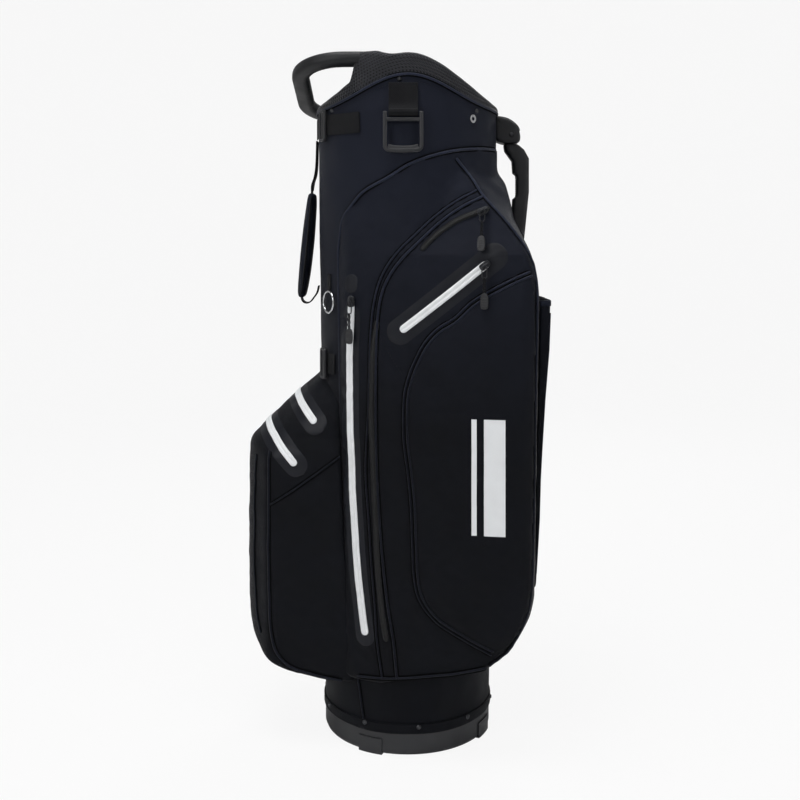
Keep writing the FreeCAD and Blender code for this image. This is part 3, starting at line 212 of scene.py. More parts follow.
def even(curve, step, closed=False):
    """Points at equal steps along a curve given by many points."""
    curve = np.asarray(curve, float)
    if closed:
        curve = np.concatenate([curve, curve[:1]])
    run = np.concatenate([[0], np.cumsum(np.linalg.norm(np.diff(curve, axis=0), axis=1))])
    spots = np.linspace(0, run[-1], max(3, int(round(run[-1] / step))) + 1)
    if closed:
        spots = spots[:-1]
    return np.stack([np.interp(spots, run, curve[:, k]) for k in range(curve.shape[1])], 1)


def spline(points, step=2.0, closed=False):
    """A smooth curve through points: between two of them it is the Catmull-Rom cubic
    (2b + (c-a)t + (2a-5b+4c-d)t^2 + (3b-a-3c+d)t^3) / 2, taken at equal steps."""
    p = np.asarray(points, float)
    if closed:
        q = np.concatenate([p[-1:], p, p[:2]])
    else:
        q = np.concatenate([2 * p[:1] - p[1:2], p, 2 * p[-1:] - p[-2:-1]])
    t = np.linspace(0, 1, 32, endpoint=False)[None, :, None]
    a, b, c, d = (q[i : len(q) - 3 + i, None] for i in range(4))
    curve = 0.5 * (2 * b + (c - a) * t + (2 * a - 5 * b + 4 * c - d) * t**2 + (3 * b - a - 3 * c + d) * t**3)
    curve = curve.reshape(-1, p.shape[1])
    return even(curve if closed else np.concatenate([curve, p[-1:]]), step, closed)


def unit(vectors):
    """Vectors of length one."""
    vectors = np.asarray(vectors, float)
    return vectors / np.maximum(np.linalg.norm(vectors, axis=-1, keepdims=True), 1e-12)


def run_along(path):
    """Distance of each point of a path from its start."""
    return np.concatenate([[0], np.cumsum(np.linalg.norm(np.diff(path, axis=0), axis=1))])


def dense_ends(path, reach, count=6):
    """The same path with more points within reach of both ends, for a round end."""
    run = run_along(path[:, :3])
    near = reach * (1 - np.cos(np.linspace(0, math.pi / 2, count)))
    inner = run[(run > reach * 1.05) & (run < run[-1] - reach * 1.05)]
    spots = np.concatenate([near, inner, run[-1] - near[::-1]])
    return np.stack([np.interp(spots, run, path[:, k]) for k in range(path.shape[1])], 1)


def round_share(path, reach, start=True, end=True):
    """How much of its full width a strip has: a quarter circle, reach long, at its ends."""
    run = run_along(path)
    share = np.ones(len(run))
    if start:
        share = np.minimum(share, np.sqrt(np.clip(1 - (1 - np.clip(run / reach, 0, 1)) ** 2, 0, 1)))
    if end:
        back = np.clip((run[-1] - run) / reach, 0, 1)
        share = np.minimum(share, np.sqrt(np.clip(1 - (1 - back) ** 2, 0, 1)))
    return np.maximum(share, 1e-3)


def sweep(path, profile, up, closed=False, widths=1.0, heights=1.0):
    """A profile carried along a path: P(s) + a B(s) + b N(s), where a and b are the profile's columns,
    N is the up vector squared to the path and B is across it."""
    path, profile = np.asarray(path, float), np.asarray(profile, float)
    if closed:
        way = unit(np.roll(path, -1, 0) - np.roll(path, 1, 0))
    else:
        way = unit(np.gradient(path, axis=0))
    up = np.broadcast_to(np.asarray(up, float), path.shape)
    side = unit(np.cross(way, up))
    normal = np.cross(side, way)
    widths = np.broadcast_to(widths, len(path))[:, None, None]
    heights = np.broadcast_to(heights, len(path))[:, None, None]
    return (
        path[:, None]
        + side[:, None] * profile[None, :, :1] * widths
        + normal[:, None] * profile[None, :, 1:] * heights
    )


def circle(radius, count=12):
    """A round profile: radius times cosine and sine."""
    turn = np.linspace(0, 2 * math.pi, count, endpoint=False)
    return np.stack([np.cos(turn), np.sin(turn)], 1) * radius


def squircle(half_a, half_b, power=4.0, count=28):
    """A superellipse profile: each coordinate is its half size times |cos| or |sin| to 2 / power."""
    turn = np.linspace(0, 2 * math.pi, count, endpoint=False)
    c, s = np.cos(turn), np.sin(turn)
    return np.stack(
        [half_a * np.sign(c) * np.abs(c) ** (2 / power), half_b * np.sign(s) * np.abs(s) ** (2 / power)], 1
    )


def cord_piece(surface, path, radius, up, slot=0, count=10):
    """A round cord along an open path, with round ends."""
    path = np.asarray(path, float)
    full = dense_ends(np.concatenate([path, np.broadcast_to(np.asarray(up, float), path.shape)], 1), radius)
    path, up = full[:, :3], full[:, 3:]
    share = round_share(path, radius)
    return surface.tube(sweep(path, circle(radius, count), up, widths=share, heights=share), slot=slot)


def welt(surface, path, radius, up, slot=0, shade=2):
    """Piping: a cord, and under it a near-black strip a little wider than the cord, painted shade for the seam beside
    the cord.
    """
    path = np.asarray(path, float)
    up = unit(np.broadcast_to(np.asarray(up, float), path.shape))
    cord_piece(surface, path + up * radius * 0.35, radius, up, slot)
    half = radius + 1.9
    full = dense_ends(np.concatenate([path, up], 1), half)
    share = round_share(full[:, :3], half)
    return surface.tube(sweep(full[:, :3], squircle(half, 0.32, 4.0, 12), full[:, 3:], widths=share), slot=shade)


def plate(surface, outline, half, rounding, place, slot=0, step=1.5, rows=5):
    """A flat moulded piece: a closed outline through its thickness, whose edge turns in by a quarter circle
    of the rounding at both faces, and whose faces close on the outline's middle.
    place is (origin, x axis, y axis, z axis); the outline lies in x and y and the thickness along z."""
    outline = even(np.asarray(outline, float), step, closed=True)
    way = unit(np.roll(outline, -1, 0) - np.roll(outline, 1, 0))
    out = np.stack([way[:, 1], -way[:, 0]], 1)
    middle = outline.mean(0)
    if ((outline - middle) * out).sum() < 0:
        out = -out
    turn = np.linspace(0, math.pi / 2, rows)
    inset = rounding * (1 - np.sin(turn))
    level = half - rounding * (1 - np.cos(turn))
    inset = np.concatenate([inset, inset[::-1]])
    level = np.concatenate([level, -level[::-1]])
    ring = outline[None] - out[None] * inset[:, None, None]
    cap = middle + (ring[:1] - middle) * np.array([0.0, 0.5, 0.85])[:, None, None]
    flat = np.concatenate([cap, ring, cap[::-1]])
    high = np.concatenate([[half] * 3, level, [-half] * 3])
    origin, ax, ay, az = (np.asarray(v, float) for v in place)
    points = origin + flat[..., :1] * ax + flat[..., 1:] * ay + high[:, None, None] * az
    return surface.grid(points, wrap_v=True, slot=slot)


def rounded_box(half_a, half_b, corner, count=7):
    """A rectangle's outline with round corners."""
    turn = np.linspace(0, math.pi / 2, count)
    arc = np.stack([np.cos(turn), np.sin(turn)], 1) * corner
    centre = np.array([half_a - corner, half_b - corner])
    quarter = centre + arc
    spin = [np.array([[1, 0], [0, 1]]), np.array([[-1, 0], [0, 1]]), np.array([[-1, 0], [0, -1]]),
        np.array([[1, 0], [0, -1]])]
    parts = [quarter, (quarter @ spin[1])[::-1], quarter @ spin[2], (quarter @ spin[3])[::-1]]
    return np.concatenate(parts)


def distance_to(points, line):
    """Distance from each point to the nearest place on a line of straight runs."""
    a, b = line[:-1], line[1:]
    run = b - a
    share = ((points[:, None] - a) * run).sum(-1) / np.maximum((run**2).sum(-1), 1e-9)
    nearest = a + np.clip(share, 0, 1)[..., None] * run
    return np.linalg.norm(points[:, None] - nearest, axis=2).min(1)


def inside_of(points, loop):
    """Whether each point is inside a closed outline: a ray from it crosses the outline an odd number of times."""
    a, b = loop, np.roll(loop, -1, 0)
    x, z = points[:, :1], points[:, 1:]
    spans = (a[:, 1] > z) != (b[:, 1] > z)
    cross = a[:, 0] + (z - a[:, 1]) / (b[:, 1] - a[:, 1] + 1e-12) * (b[:, 0] - a[:, 0])
    return (spans & (x < cross)).sum(1) % 2 == 1


def soft_step(value):
    """0 below 0, 1 above 1 and a smooth cubic between."""
    t = np.clip(value, 0, 1)
    return t * t * (3 - 2 * t)


def ripple(a, b, seed, size=90.0):
    """Slack cloth: nine crossing sine waves, each about size long, that add up to about one."""
    chance = np.random.default_rng(seed)
    total = np.zeros(np.broadcast(a, b).shape)
    for _ in range(9):
        turn, stretch, start = chance.uniform(0, math.tau), chance.uniform(0.45, 1.5), chance.uniform(0, math.tau)
        wave = math.tau / (size * stretch)
        total += np.sin(wave * (a * math.cos(turn) + b * math.sin(turn)) + start) / 3
    return total


def hit(shape, start, way, far=FAR_OUT):
    """Where rays that start inside a shape leave it: the interval is halved until the shape's function is zero."""
    low, high = np.zeros(start.shape[:-1]), np.full(start.shape[:-1], float(far))
    for _ in range(26):
        middle = (low + high) / 2
        inside = shape(start + middle[..., None] * way) < 0
        low, high = np.where(inside, middle, low), np.where(inside, high, middle)
    return start + high[..., None] * way


def slope_of(shape, points):
    """The outward normal: the shape's change over half a millimetre each way along x, y and z."""
    steps = np.eye(3) * 0.5
    return unit(np.stack([shape(points + s) - shape(points - s) for s in steps], -1))


def soft_most(values, softness):
    """The largest of several fields, rounded where two meet: k log(sum of exp(value / k))."""
    top = np.max(values, 0)
    return top + softness * np.log(np.exp((values - top) / softness).sum(0))


# ---------------------------------------------------------------- the bag's own surfaces


def tube_radius(z):
    """The fabric tube: a cone from 111.8 mm at the floor to 123 mm at 870 mm."""
    return 111.8 + 11.2 * np.asarray(z, float) / 870


def high_side(angle):
    """1 on the towel ring's side and 0 opposite: (1 + cosine of the angle from -y) / 2."""
    return (1 + np.cos(angle + math.pi / 2)) / 2


def seam_height(angle):
    """The cuff's seam, which rises to a rounded peak over the towel ring."""
    return 830 + 38 * high_side(angle) ** 11


def rim_height(angle):
    """The top of the mesh roll."""
    return 838 + 58 * high_side(angle) ** 8


def round_tube(angle, z, proud=0.0):
    """A point on the tube: (r cos a, r sin a, z), r being the tube's radius plus what stands proud."""
    r = tube_radius(z) + proud
    return np.stack(np.broadcast_arrays(r * np.cos(angle), r * np.sin(angle), z), -1)


def on_tube(x, z, proud=0.0, side=-1):
    """A point on the tube's near or far side from its x and z."""
    r = tube_radius(z) + proud
    return np.stack([x, side * np.sqrt(np.maximum(r**2 - x**2, 0)), z], -1)


def outward_on_tube(points):
    """The tube's normal, straight out from the axis."""
    return unit(points * np.array([1, 1, 0]))


# ---------------------------------------------------------------- the side pockets' shape

CENTRE = np.array([40.0, -40.0])  # a point inside the pocket and the tube, which its rays start from
BACK_EDGE = np.array([
    (121, 103), (132, 119), (144, 131), (157, 140), (182, 152.5), (207, 158), (257, 159),
    (332, 159.5), (382, 160.5), (483, 162.5), (583, 164), (606, 162), (627, 158), (640, 153),
    (651, 148), (685, 130), (775, 112),
])
RIDGE = np.array([(128, 100), (150, 125), (189, 145), (228, 153), (330, 156), (467, 158), (560, 160),
                  (609, 160), (641, 150), (678, 126), (714, 96), (736, 82), (762, 62)])
FRONT_EDGE = np.array([(93, -66), (157, -71), (284, -81), (456, -87), (594, -89.5), (640, -90)])
TOP_EDGE = np.array([(-90, 640), (-88, 662), (-84, 685), (-72, 703), (-55, 721), (-26, 737), (6, 756),
    (49, 770), (85, 776), (118, 779)])
BOTTOM_EDGE = np.array([(-66, 94), (49, 110), (101, 121), (178, 128)])


def face_depth(x, z):
    """How far the side pocket's flat face is from the bag's middle plane: 120 at the crease beside the
    long zip and 158 at the back, less a lean of 46 in 135 above 640."""
    depth = np.where(x < -40, 120 + (x + 40) * 0.5, 120 + (x + 40) * 0.2)
    return depth - 0.348 * np.maximum(z - 640, 0)


def side_planes(p):
    """The pocket's walls: each is a direction across the bag and how far out the wall stands."""
    x, y, z = p[..., 0], p[..., 1], p[..., 2]
    lean = 0.3407 * np.maximum(z - 640, 0)
    back = np.interp(z, BACK_EDGE[:, 0], BACK_EDGE[:, 1])
    ridge = np.interp(z, RIDGE[:, 0], RIDGE[:, 1])
    ridge_out = 0.86 * ridge + 0.51 * face_depth(ridge, z)
    return np.stack([
        -0.949 * x - 0.316 * y - 107.5,
        -0.447 * x - 0.894 * y - 125.2,
        -0.196 * x - 0.981 * y - (125.6 - lean),
        0.430 * x - 0.903 * y - 207.2,
        0.953 * x - 0.303 * y - 207.8,
        0.86 * x - 0.51 * y - ridge_out,
        0.991 * (x - back) - 0.132 * (y + 135),
        y + 17.0,
    ])


def side_shape(p, inset=0.0):
    """Below zero inside the near side pocket or the tube under it. The pocket is the rounded corner of
    its walls, and it runs into the tube in a soft fold."""
    pocket = soft_most(side_planes(p), 3.0) + inset
    tube = np.hypot(p[..., 0], p[..., 1]) - tube_radius(p[..., 2]) - 1.6
    return -soft_most(np.stack([-pocket, -tube]), 3.0)


LARGE_POCKET = spline([
    (151, 619), (125, 607), (83, 583), (58, 560), (38, 547), (22, 530), (10, 508), (0, 482), (-5, 455), (-5, 406),
    (0, 365), (4, 323), (6, 270), (8, 232), (15, 205), (35, 180), (69, 160), (104, 143),
], 4.0)
LARGE_BACK = spline([(104, 143), (128, 160), (144, 189), (152, 228), (154, 330), (156, 440), (157, 530),
    (156, 590), (151, 619)], 4.0)
GUSSET_SEAM = spline([
    (96, 714), (68, 700), (41, 681), (15, 657), (-8, 634), (-26, 608), (-36, 578), (-40, 531), (-41, 442),
    (-39.6, 366), (-36, 300), (-31, 239), (-25, 190), (-18.5, 150), (-14, 104),
], 4.0)
SECOND_SEAM = spline([
    (88, 722), (60, 707), (34, 688), (8, 664), (-15, 641), (-33, 613), (-43, 580), (-48, 531),
    (-50.6, 442), (-54, 366),
    (-50, 300), (-46, 239), (-42, 190), (-39.6, 150), (-33, 104),
], 4.0)
SLANT_SEAM = spline([(-38, 541), (-22, 511), (-6, 486)], 4.0)
RIDGE_SEAM = spline([(62, 763), (82, 737), (96, 714), (126, 678), (150, 641), (159, 609), (160, 560),
    (158, 467), (156, 330), (153, 228), (145, 189), (125, 150), (100, 128)], 4.0)


def side_relief(x, z):
    """What is sewn into the flat face: the large pocket stands proud inside its outline, the cloth dips
    along each seam, and slack cloth ripples a little."""
    fill = settings()[1].pocket_fill / MM
    spots = np.stack([x.ravel(), z.ravel()], 1)
    outline = np.concatenate([LARGE_POCKET, LARGE_BACK[1:-1]])
    to_front = distance_to(spots, LARGE_POCKET)
    to_back = distance_to(spots, LARGE_BACK)
    within = inside_of(spots, outline)
    proud = fill * soft_step(to_front / 9.0) * (0.35 + 0.65 * soft_step(to_back / 16.0)) * within
    belly = 2.2 * soft_step(to_front / 70.0) * soft_step(to_back / 60.0) * within
    seams = [LARGE_POCKET, GUSSET_SEAM, SECOND_SEAM, RIDGE_SEAM, SLANT_SEAM]
    nearest = np.min([distance_to(spots, s) for s in seams], 0)
    dip = -1.0 * np.exp(-((nearest / 3.5) ** 2))
    slack = 0.5 * ripple(spots[:, 0], spots[:, 1], 11, 70) + 0.22 * ripple(spots[:, 0], spots[:, 1], 12, 26)
    slack *= soft_step(nearest / 12.0)
    pucker = 0.25 * np.sin(spots[:, 1] * math.tau / 9.0) * np.exp(-((nearest / 6.0) ** 2))
    return (proud + belly + dip + slack + pucker).reshape(x.shape)


def side_point(x, z, lift=0.0):
    """Points on the near side pocket's cloth from x and z, with their outward normals."""
    x, z = np.asarray(x, float), np.asarray(z, float)
    start = np.stack([x, np.full_like(x, -20.0), z], -1)
    base = hit(side_shape, start, np.array([0.0, -1.0, 0.0]))
    normal = slope_of(side_shape, base)
    return base + normal * (side_relief(x, z) + lift)[..., None], normal


def mirrored(points, side):
    """The same points on the far side where side is 1."""
    return points * np.array([1.0, -float(side), 1.0])


# ---------------------------------------------------------------- the ball pocket's shape

BALL_TOP, BALL_SHOULDER, BALL_REACH = 480, 390, 217
BALL_SLOPE = math.atan2(BALL_TOP - BALL_SHOULDER, BALL_REACH - 118)
BALL_RUN = np.array([math.cos(BALL_SLOPE), 0, math.sin(BALL_SLOPE)])
BALL_UP = np.array([-math.sin(BALL_SLOPE), 0, math.cos(BALL_SLOPE)])
BALL_ACROSS = np.array([0.0, -1.0, 0.0])
BALL_RIDGE = np.array([-150.0, 0, BALL_TOP - 32 * math.tan(BALL_SLOPE)])
BALL_AXIS = BALL_RIDGE - BALL_UP * 88
# the two zips over the crown: distance along the slope, and half the angle that they reach round it
UPPER_ZIP, LOWER_ZIP = (0.0, 60), (-40 / math.cos(BALL_SLOPE), 76)


def ball_shape(p, inset=0.0):
    """Below zero inside the ball pocket: the rounded corner of its upright walls, its curved front and
    bottom, and the round crown of its sloping top, which widens below 400 mm and stops at 330 mm. It ends beside the side
    pocket, where its cloth turns in to the seam."""
    x, y, z = p[..., 0], np.abs(p[..., 1]), p[..., 2]
    off = p - BALL_AXIS
    off = off - (off @ BALL_RUN)[..., None] * BALL_RUN
    crown = np.linalg.norm(off, axis=-1) - 88 - 0.3 * np.maximum(400 - z, 0)
    crown = np.minimum(crown, 0.5 * (z - 330))
    seam = np.interp(z, FRONT_EDGE[:, 0], FRONT_EDGE[:, 1])
    walls = [
        -0.1887 * x + 0.982 * y - 111.5,
        -0.8145 * x + 0.580 * y - 195.9,
        -0.975 * x + 0.221 * y - 214.2,
        -x - 217.0,
        -0.559 * x + 0.829 * z - (0.559 * 150 + 0.829 * 462.5),
        -0.66 * x + 0.751 * z - (0.66 * 174 + 0.751 * 441),
        -0.728 * x + 0.686 * z - (0.728 * 206 + 0.686 * 406),
        -0.86 * x + 0.51 * z - (0.86 * 217 + 0.51 * 388),
        -0.998 * x - 0.062 * z - 202.4,
        -0.945 * x - 0.327 * z - 151.3,
        -0.707 * x - 0.707 * z - 55.9,
        -0.397 * x - 0.918 * z + 23.9,
        -0.157 * x - 0.988 * z + 67.6,
        -z + 87.0,
        x - (seam - 1.0),
        crown,
    ]
    return soft_most(np.stack(walls), 3.0) + inset


BALL_CORNER = spline([(-181, 382), (-182, 365), (-182, 300), (-182, 230), (-180, 160), (-175, 128), (-163, 110),
    (-145, 100), (-118, 94), (-84, 90)], 3.0)


def ball_relief(points):
    """Slack in the ball pocket's cloth: broad and small ripples, a dip along the front corner's piping and
    a stuffed front."""
    x, y, z = points[..., 0], points[..., 1], points[..., 2]
    around = np.arctan2(y, -x - 60) * 90
    slack = 0.5 * ripple(around, z, 21, 70) + 0.22 * ripple(around, z, 22, 26)
    corner = distance_to(points[..., ::2].reshape(-1, 2), BALL_CORNER).reshape(x.shape)
    dip = -1.0 * np.exp(-((corner / 3.5) ** 2)) * (np.abs(y) > 60)
    puff = 2.0 * soft_step((z - 100) / 80) * soft_step((370 - z) / 90) * soft_step((76 - np.abs(y)) / 40) * (x < -150)
    return slack + dip + puff


def crown_cloth(angle, along, lift=0.0):
    """A point on the crown's own cloth: a ray from the crown's axis leaves the pocket there."""
    angle, along = np.broadcast_arrays(np.asarray(angle, float), along)
    out = np.cos(angle)[..., None] * BALL_UP + np.sin(angle)[..., None] * BALL_ACROSS
    points = hit(ball_shape, BALL_AXIS + BALL_RUN * along[..., None], out, 130.0)
    return points + slope_of(ball_shape, points) * (ball_relief(points)[..., None] + lift), out


def crown_point(angle, along, lift=0.0):
    """A point on the crown: its axis plus 88 mm along up cos a + across sin a, at a distance along the slope."""
    angle, along = np.broadcast_arrays(np.asarray(angle, float), along)
    out = np.cos(angle)[..., None] * BALL_UP + np.sin(angle)[..., None] * BALL_ACROSS
    return BALL_AXIS + BALL_RUN * along[..., None] + out * (88 + lift), out


# ---------------------------------------------------------------- materials


def add(tree, kind, links=None, **options):
    """Adds a node: options are its settings, and links gives its inputs as values or as other nodes' outputs."""
    node = tree.nodes.new("ShaderNode" + kind)
    for key, value in options.items():
        setattr(node, key, value)
    for key, value in (links or {}).items():
        if isinstance(value, bpy.types.NodeSocket):
            tree.links.new(value, node.inputs[key])
        else:
            node.inputs[key].default_value = value
    return node


def new_material(name, **shader):
    """A material with an empty Principled surface, whose plain values are set on the shader itself."""
    finish = bpy.data.materials.new(name)
    finish.use_nodes = True
    tree = finish.node_tree
    tree.nodes.clear()
    surface = add(tree, "BsdfPrincipled", {k.replace("_", " "): v for k, v in shader.items()})
    add(tree, "OutputMaterial", {"Surface": surface.outputs["BSDF"]})
    finish.diffuse_color = shader.get("Base_Color", (0.1, 0.1, 0.1, 1.0))
    return finish, tree, surface


def add_mix(tree, share, low, high):
    """A colour mixed from two by a share; each may be a value or a node's output."""
    node = add(tree, "Mix", data_type="RGBA")
    for socket, value in ((node.inputs[0], share), (node.inputs[6], low), (node.inputs[7], high)):
        if isinstance(value, bpy.types.NodeSocket):
            tree.links.new(value, socket)
        else:
            socket.default_value = value
    return node.outputs[2]


def wave_of(tree, value, pitch, start=0.0):
    """The sine of a length in metres, one turn in each pitch."""
    turns = add(tree, "Math", {0: value, 1: math.tau / pitch, 2: start}, operation="MULTIPLY_ADD")
    return add(tree, "Math", {0: turns.outputs[0]}, operation="SINE").outputs[0]


def raised(tree, surface, height, distance, strength=1.0, normal=None):
    """Feeds a height, in shares of a distance in metres, to the surface's normal."""
    links = {"Height": height, "Distance": distance, "Strength": strength}
    if normal is not None:
        links["Normal"] = normal
    bump = add(tree, "Bump", links)
    tree.links.new(bump.outputs["Normal"], surface.inputs["Normal"])
    return bump.outputs["Normal"]


def woven_cloth(name, light, dark, thread, roughness=0.56, sheen=0.03, grain=0.5, painted_top_light=1.0):
    """Plain-woven polyester: threads pass over and under each other, so the height is the product of one
    sine along the cloth and one across it. The threads are half as far apart on the real cloth, and are
    drawn at the given distance so that they show. Painted light: the colour is painted lighter from 0.42 m
    up to 0.74 m, by the share painted_top_light, for the light from above that falls on the upper panels."""
    finish, tree, surface = new_material(
        name, Base_Color=light, Roughness=roughness, Sheen_Weight=sheen, Sheen_Roughness=0.45, Specular_IOR_Level=0.08
    )
    place = add(tree, "TexCoord").outputs["Object"]
    uv = add(tree, "SeparateXYZ", {0: add(tree, "UVMap", uv_map="UVMap").outputs[0]})
    weave = add(tree, "Math", {0: wave_of(tree, uv.outputs[0], thread),
        1: wave_of(tree, uv.outputs[1], thread)}, operation="MULTIPLY")
    fine = add(tree, "TexNoise", {"Vector": place, "Scale": 900.0, "Detail": 2.0})
    broad = add(tree, "TexNoise", {"Vector": place, "Scale": 22.0, "Detail": 5.0, "Roughness": 0.55})
    share = add(tree, "Math", {0: fine.outputs["Fac"], 1: 0.6, 2: 0.0}, operation="MULTIPLY_ADD")
    share = add(tree, "Math", {0: broad.outputs["Fac"], 1: 0.7, 2: share.outputs[0]}, operation="MULTIPLY_ADD")
    share = add(tree, "Math", {0: weave.outputs[0], 1: 0.22, 2: share.outputs[0]}, operation="MULTIPLY_ADD")
    share = add(tree, "MapRange", {"Value": share.outputs[0], "From Min": 0.35, "From Max": 0.95})
    threads = add_mix(tree, share.outputs["Result"], dark, light)
    # painted light: the cloth is painted lighter towards the top of the bag, for the light from above on the upper
    # panels
    level = add(tree, "SeparateXYZ", {0: place})
    high = add(tree, "MapRange", {"Value": level.outputs["Z"], "From Min": 0.42, "From Max": 0.74,
        "To Min": 0.0, "To Max": 1.0})
    pale = tuple(min(c * (1 + painted_top_light * 1.7), 1.0) for c in light[:3]) + (1.0,)
    tree.links.new(add_mix(tree, high.outputs["Result"], threads, pale), surface.inputs["Base Color"])
    height = add(tree, "Math", {0: fine.outputs["Fac"], 1: grain, 2: weave.outputs[0]}, operation="MULTIPLY_ADD")
    raised(tree, surface, height.outputs[0], thread * 0.16, 0.55)
    return finish


def spacer_mesh(name, light, dark, cell):
    """Warp-knitted spacer mesh: rows of round holes on a triangular lattice, three cosines 120 degrees
    apart. The holes are darker and lower than the knitted ridges between them: their near-black colour is
    the inner layer seen through them, and painted shade inside them."""
    finish, tree, surface = new_material(name, Base_Color=light, Roughness=0.85, Sheen_Weight=0.25,
        Sheen_Roughness=0.4, Specular_IOR_Level=0.3)
    uv = add(tree, "SeparateXYZ", {0: add(tree, "UVMap", uv_map="UVMap").outputs[0]})
    wave = cell * math.sqrt(3) / 2
    total = None
    for turn in (90, 210, 330):
        c, s = math.cos(math.radians(turn)), math.sin(math.radians(turn))
        along = add(tree, "Math", {0: uv.outputs[0], 1: c}, operation="MULTIPLY")
        along = add(tree, "Math", {0: uv.outputs[1], 1: s, 2: along.outputs[0]}, operation="MULTIPLY_ADD")
        part = wave_of(tree, along.outputs[0], wave, math.pi / 2)
        total = part if total is None else add(tree, "Math", {0: total, 1: part}, operation="ADD").outputs[0]
    hole = add(tree, "MapRange", {"Value": total, "From Min": -0.4, "From Max": 1.6})
    tree.links.new(add_mix(tree, hole.outputs["Result"], light, dark), surface.inputs["Base Color"])
    knit = add(tree, "TexNoise", {"Vector": add(tree, "TexCoord").outputs["Object"], "Scale": 1200.0, "Detail": 1.0})
    height = add(tree, "Math", {0: hole.outputs["Result"], 1: -1.0, 2: knit.outputs["Fac"]}, operation="MULTIPLY_ADD")
    raised(tree, surface, height.outputs[0], cell * 0.16, 0.8)
    return finish


def ribbed_webbing(name, light, dark, rib):
    """Woven nylon webbing: fat ribs lie across the strap, with the warp's fine lines along it."""
    finish, tree, surface = new_material(name, Base_Color=light, Roughness=0.7, Sheen_Weight=0.04,
        Specular_IOR_Level=0.15)
    uv = add(tree, "SeparateXYZ", {0: add(tree, "UVMap", uv_map="UVMap").outputs[0]})
    across, along = wave_of(tree, uv.outputs[0], rib), wave_of(tree, uv.outputs[1], rib * 0.6)
    ribs = add(tree, "Math", {0: along, 1: 0.35, 2: across}, operation="MULTIPLY_ADD")
    share = add(tree, "MapRange", {"Value": ribs.outputs[0], "From Min": -1.3, "From Max": 1.3})
    tree.links.new(add_mix(tree, share.outputs["Result"], dark, light), surface.inputs["Base Color"])
    raised(tree, surface, ribs.outputs[0], rib * 0.16, 0.8)
    return finish


def moulded(name, light, roughness, grain=900.0, depth=0.00006, worn=0.08, shine=0.5):
    """Moulded plastic or rubber: a spark-eroded mould leaves a fine pebble grain, and handling leaves
    smoother and duller places in it."""
    finish, tree, surface = new_material(name, Base_Color=light, Roughness=roughness, Specular_IOR_Level=shine)
    place = add(tree, "TexCoord").outputs["Object"]
    dull = darker(light, 0.78)
    broad = add(tree, "TexNoise", {"Vector": place, "Scale": 30.0, "Detail": 4.0})
    pebble = add(tree, "TexNoise", {"Vector": place, "Scale": grain, "Detail": 2.0})
    share = add(tree, "MapRange", {"Value": broad.outputs["Fac"], "From Min": 0.3, "From Max": 0.7})
    tree.links.new(add_mix(tree, share.outputs["Result"], dull, light), surface.inputs["Base Color"])
    rough = add(tree, "MapRange", {"Value": broad.outputs["Fac"], "From Min": 0.3, "From Max": 0.7,
        "To Min": roughness - worn, "To Max": roughness + worn})
    tree.links.new(rough.outputs["Result"], surface.inputs["Roughness"])
    raised(tree, surface, pebble.outputs["Fac"], depth, 0.8)
    return finish


def metal(name, light, roughness, brushed=0.0, metallic=1.0):
    """A metal with faint scratches: a stretched noise raises the surface and varies its roughness."""
    finish, tree, surface = new_material(name, Base_Color=light, Roughness=roughness, Metallic=metallic)
    place = add(tree, "TexCoord").outputs["Object"]
    stretch = add(tree, "Mapping", {"Vector": place, "Scale": (1.0, 1.0, 0.08)})
    noise = add(tree, "TexNoise", {"Vector": stretch.outputs[0], "Scale": 1500.0, "Detail": 3.0})
    rough = add(tree, "MapRange", {"Value": noise.outputs["Fac"], "To Min": max(roughness - 0.08, 0.03),
        "To Max": roughness + 0.12})
    tree.links.new(rough.outputs["Result"], surface.inputs["Roughness"])
    tree.links.new(add_mix(tree, noise.outputs["Fac"], darker(light, 0.8), light), surface.inputs["Base Color"])
    raised(tree, surface, noise.outputs["Fac"], 0.00001 + brushed, 0.5)
    return finish


def zip_coating(name, light, dark, tooth, roughness, tooth_share, shine=0.45):
    """A zip's face: bent coils lie across it side by side, one in each tooth's pitch, under a coating on a
    pale water-resistant zip and bare on a dark one."""
    finish, tree, surface = new_material(name, Base_Color=light, Roughness=roughness, Specular_IOR_Level=shine)
    uv = add(tree, "SeparateXYZ", {0: add(tree, "UVMap", uv_map="UVMap").outputs[0]})
    teeth = wave_of(tree, uv.outputs[0], tooth)
    place = add(tree, "TexCoord").outputs["Object"]
    grime = add(tree, "TexNoise", {"Vector": place, "Scale": 60.0, "Detail": 6.0})
    share = add(tree, "Math", {0: teeth, 1: tooth_share, 2: grime.outputs["Fac"]}, operation="MULTIPLY_ADD")
    share = add(tree, "MapRange", {"Value": share.outputs[0], "From Min": 0.2, "From Max": 0.5})
    tree.links.new(add_mix(tree, share.outputs["Result"], dark, light), surface.inputs["Base Color"])
    raised(tree, surface, teeth, tooth * 0.08, 0.4)
    return finish


FINISHES = {}


def darker(colour, share):
    """The colour at a share of its brightness."""
    return tuple(v * share for v in colour[:3]) + (1.0,)


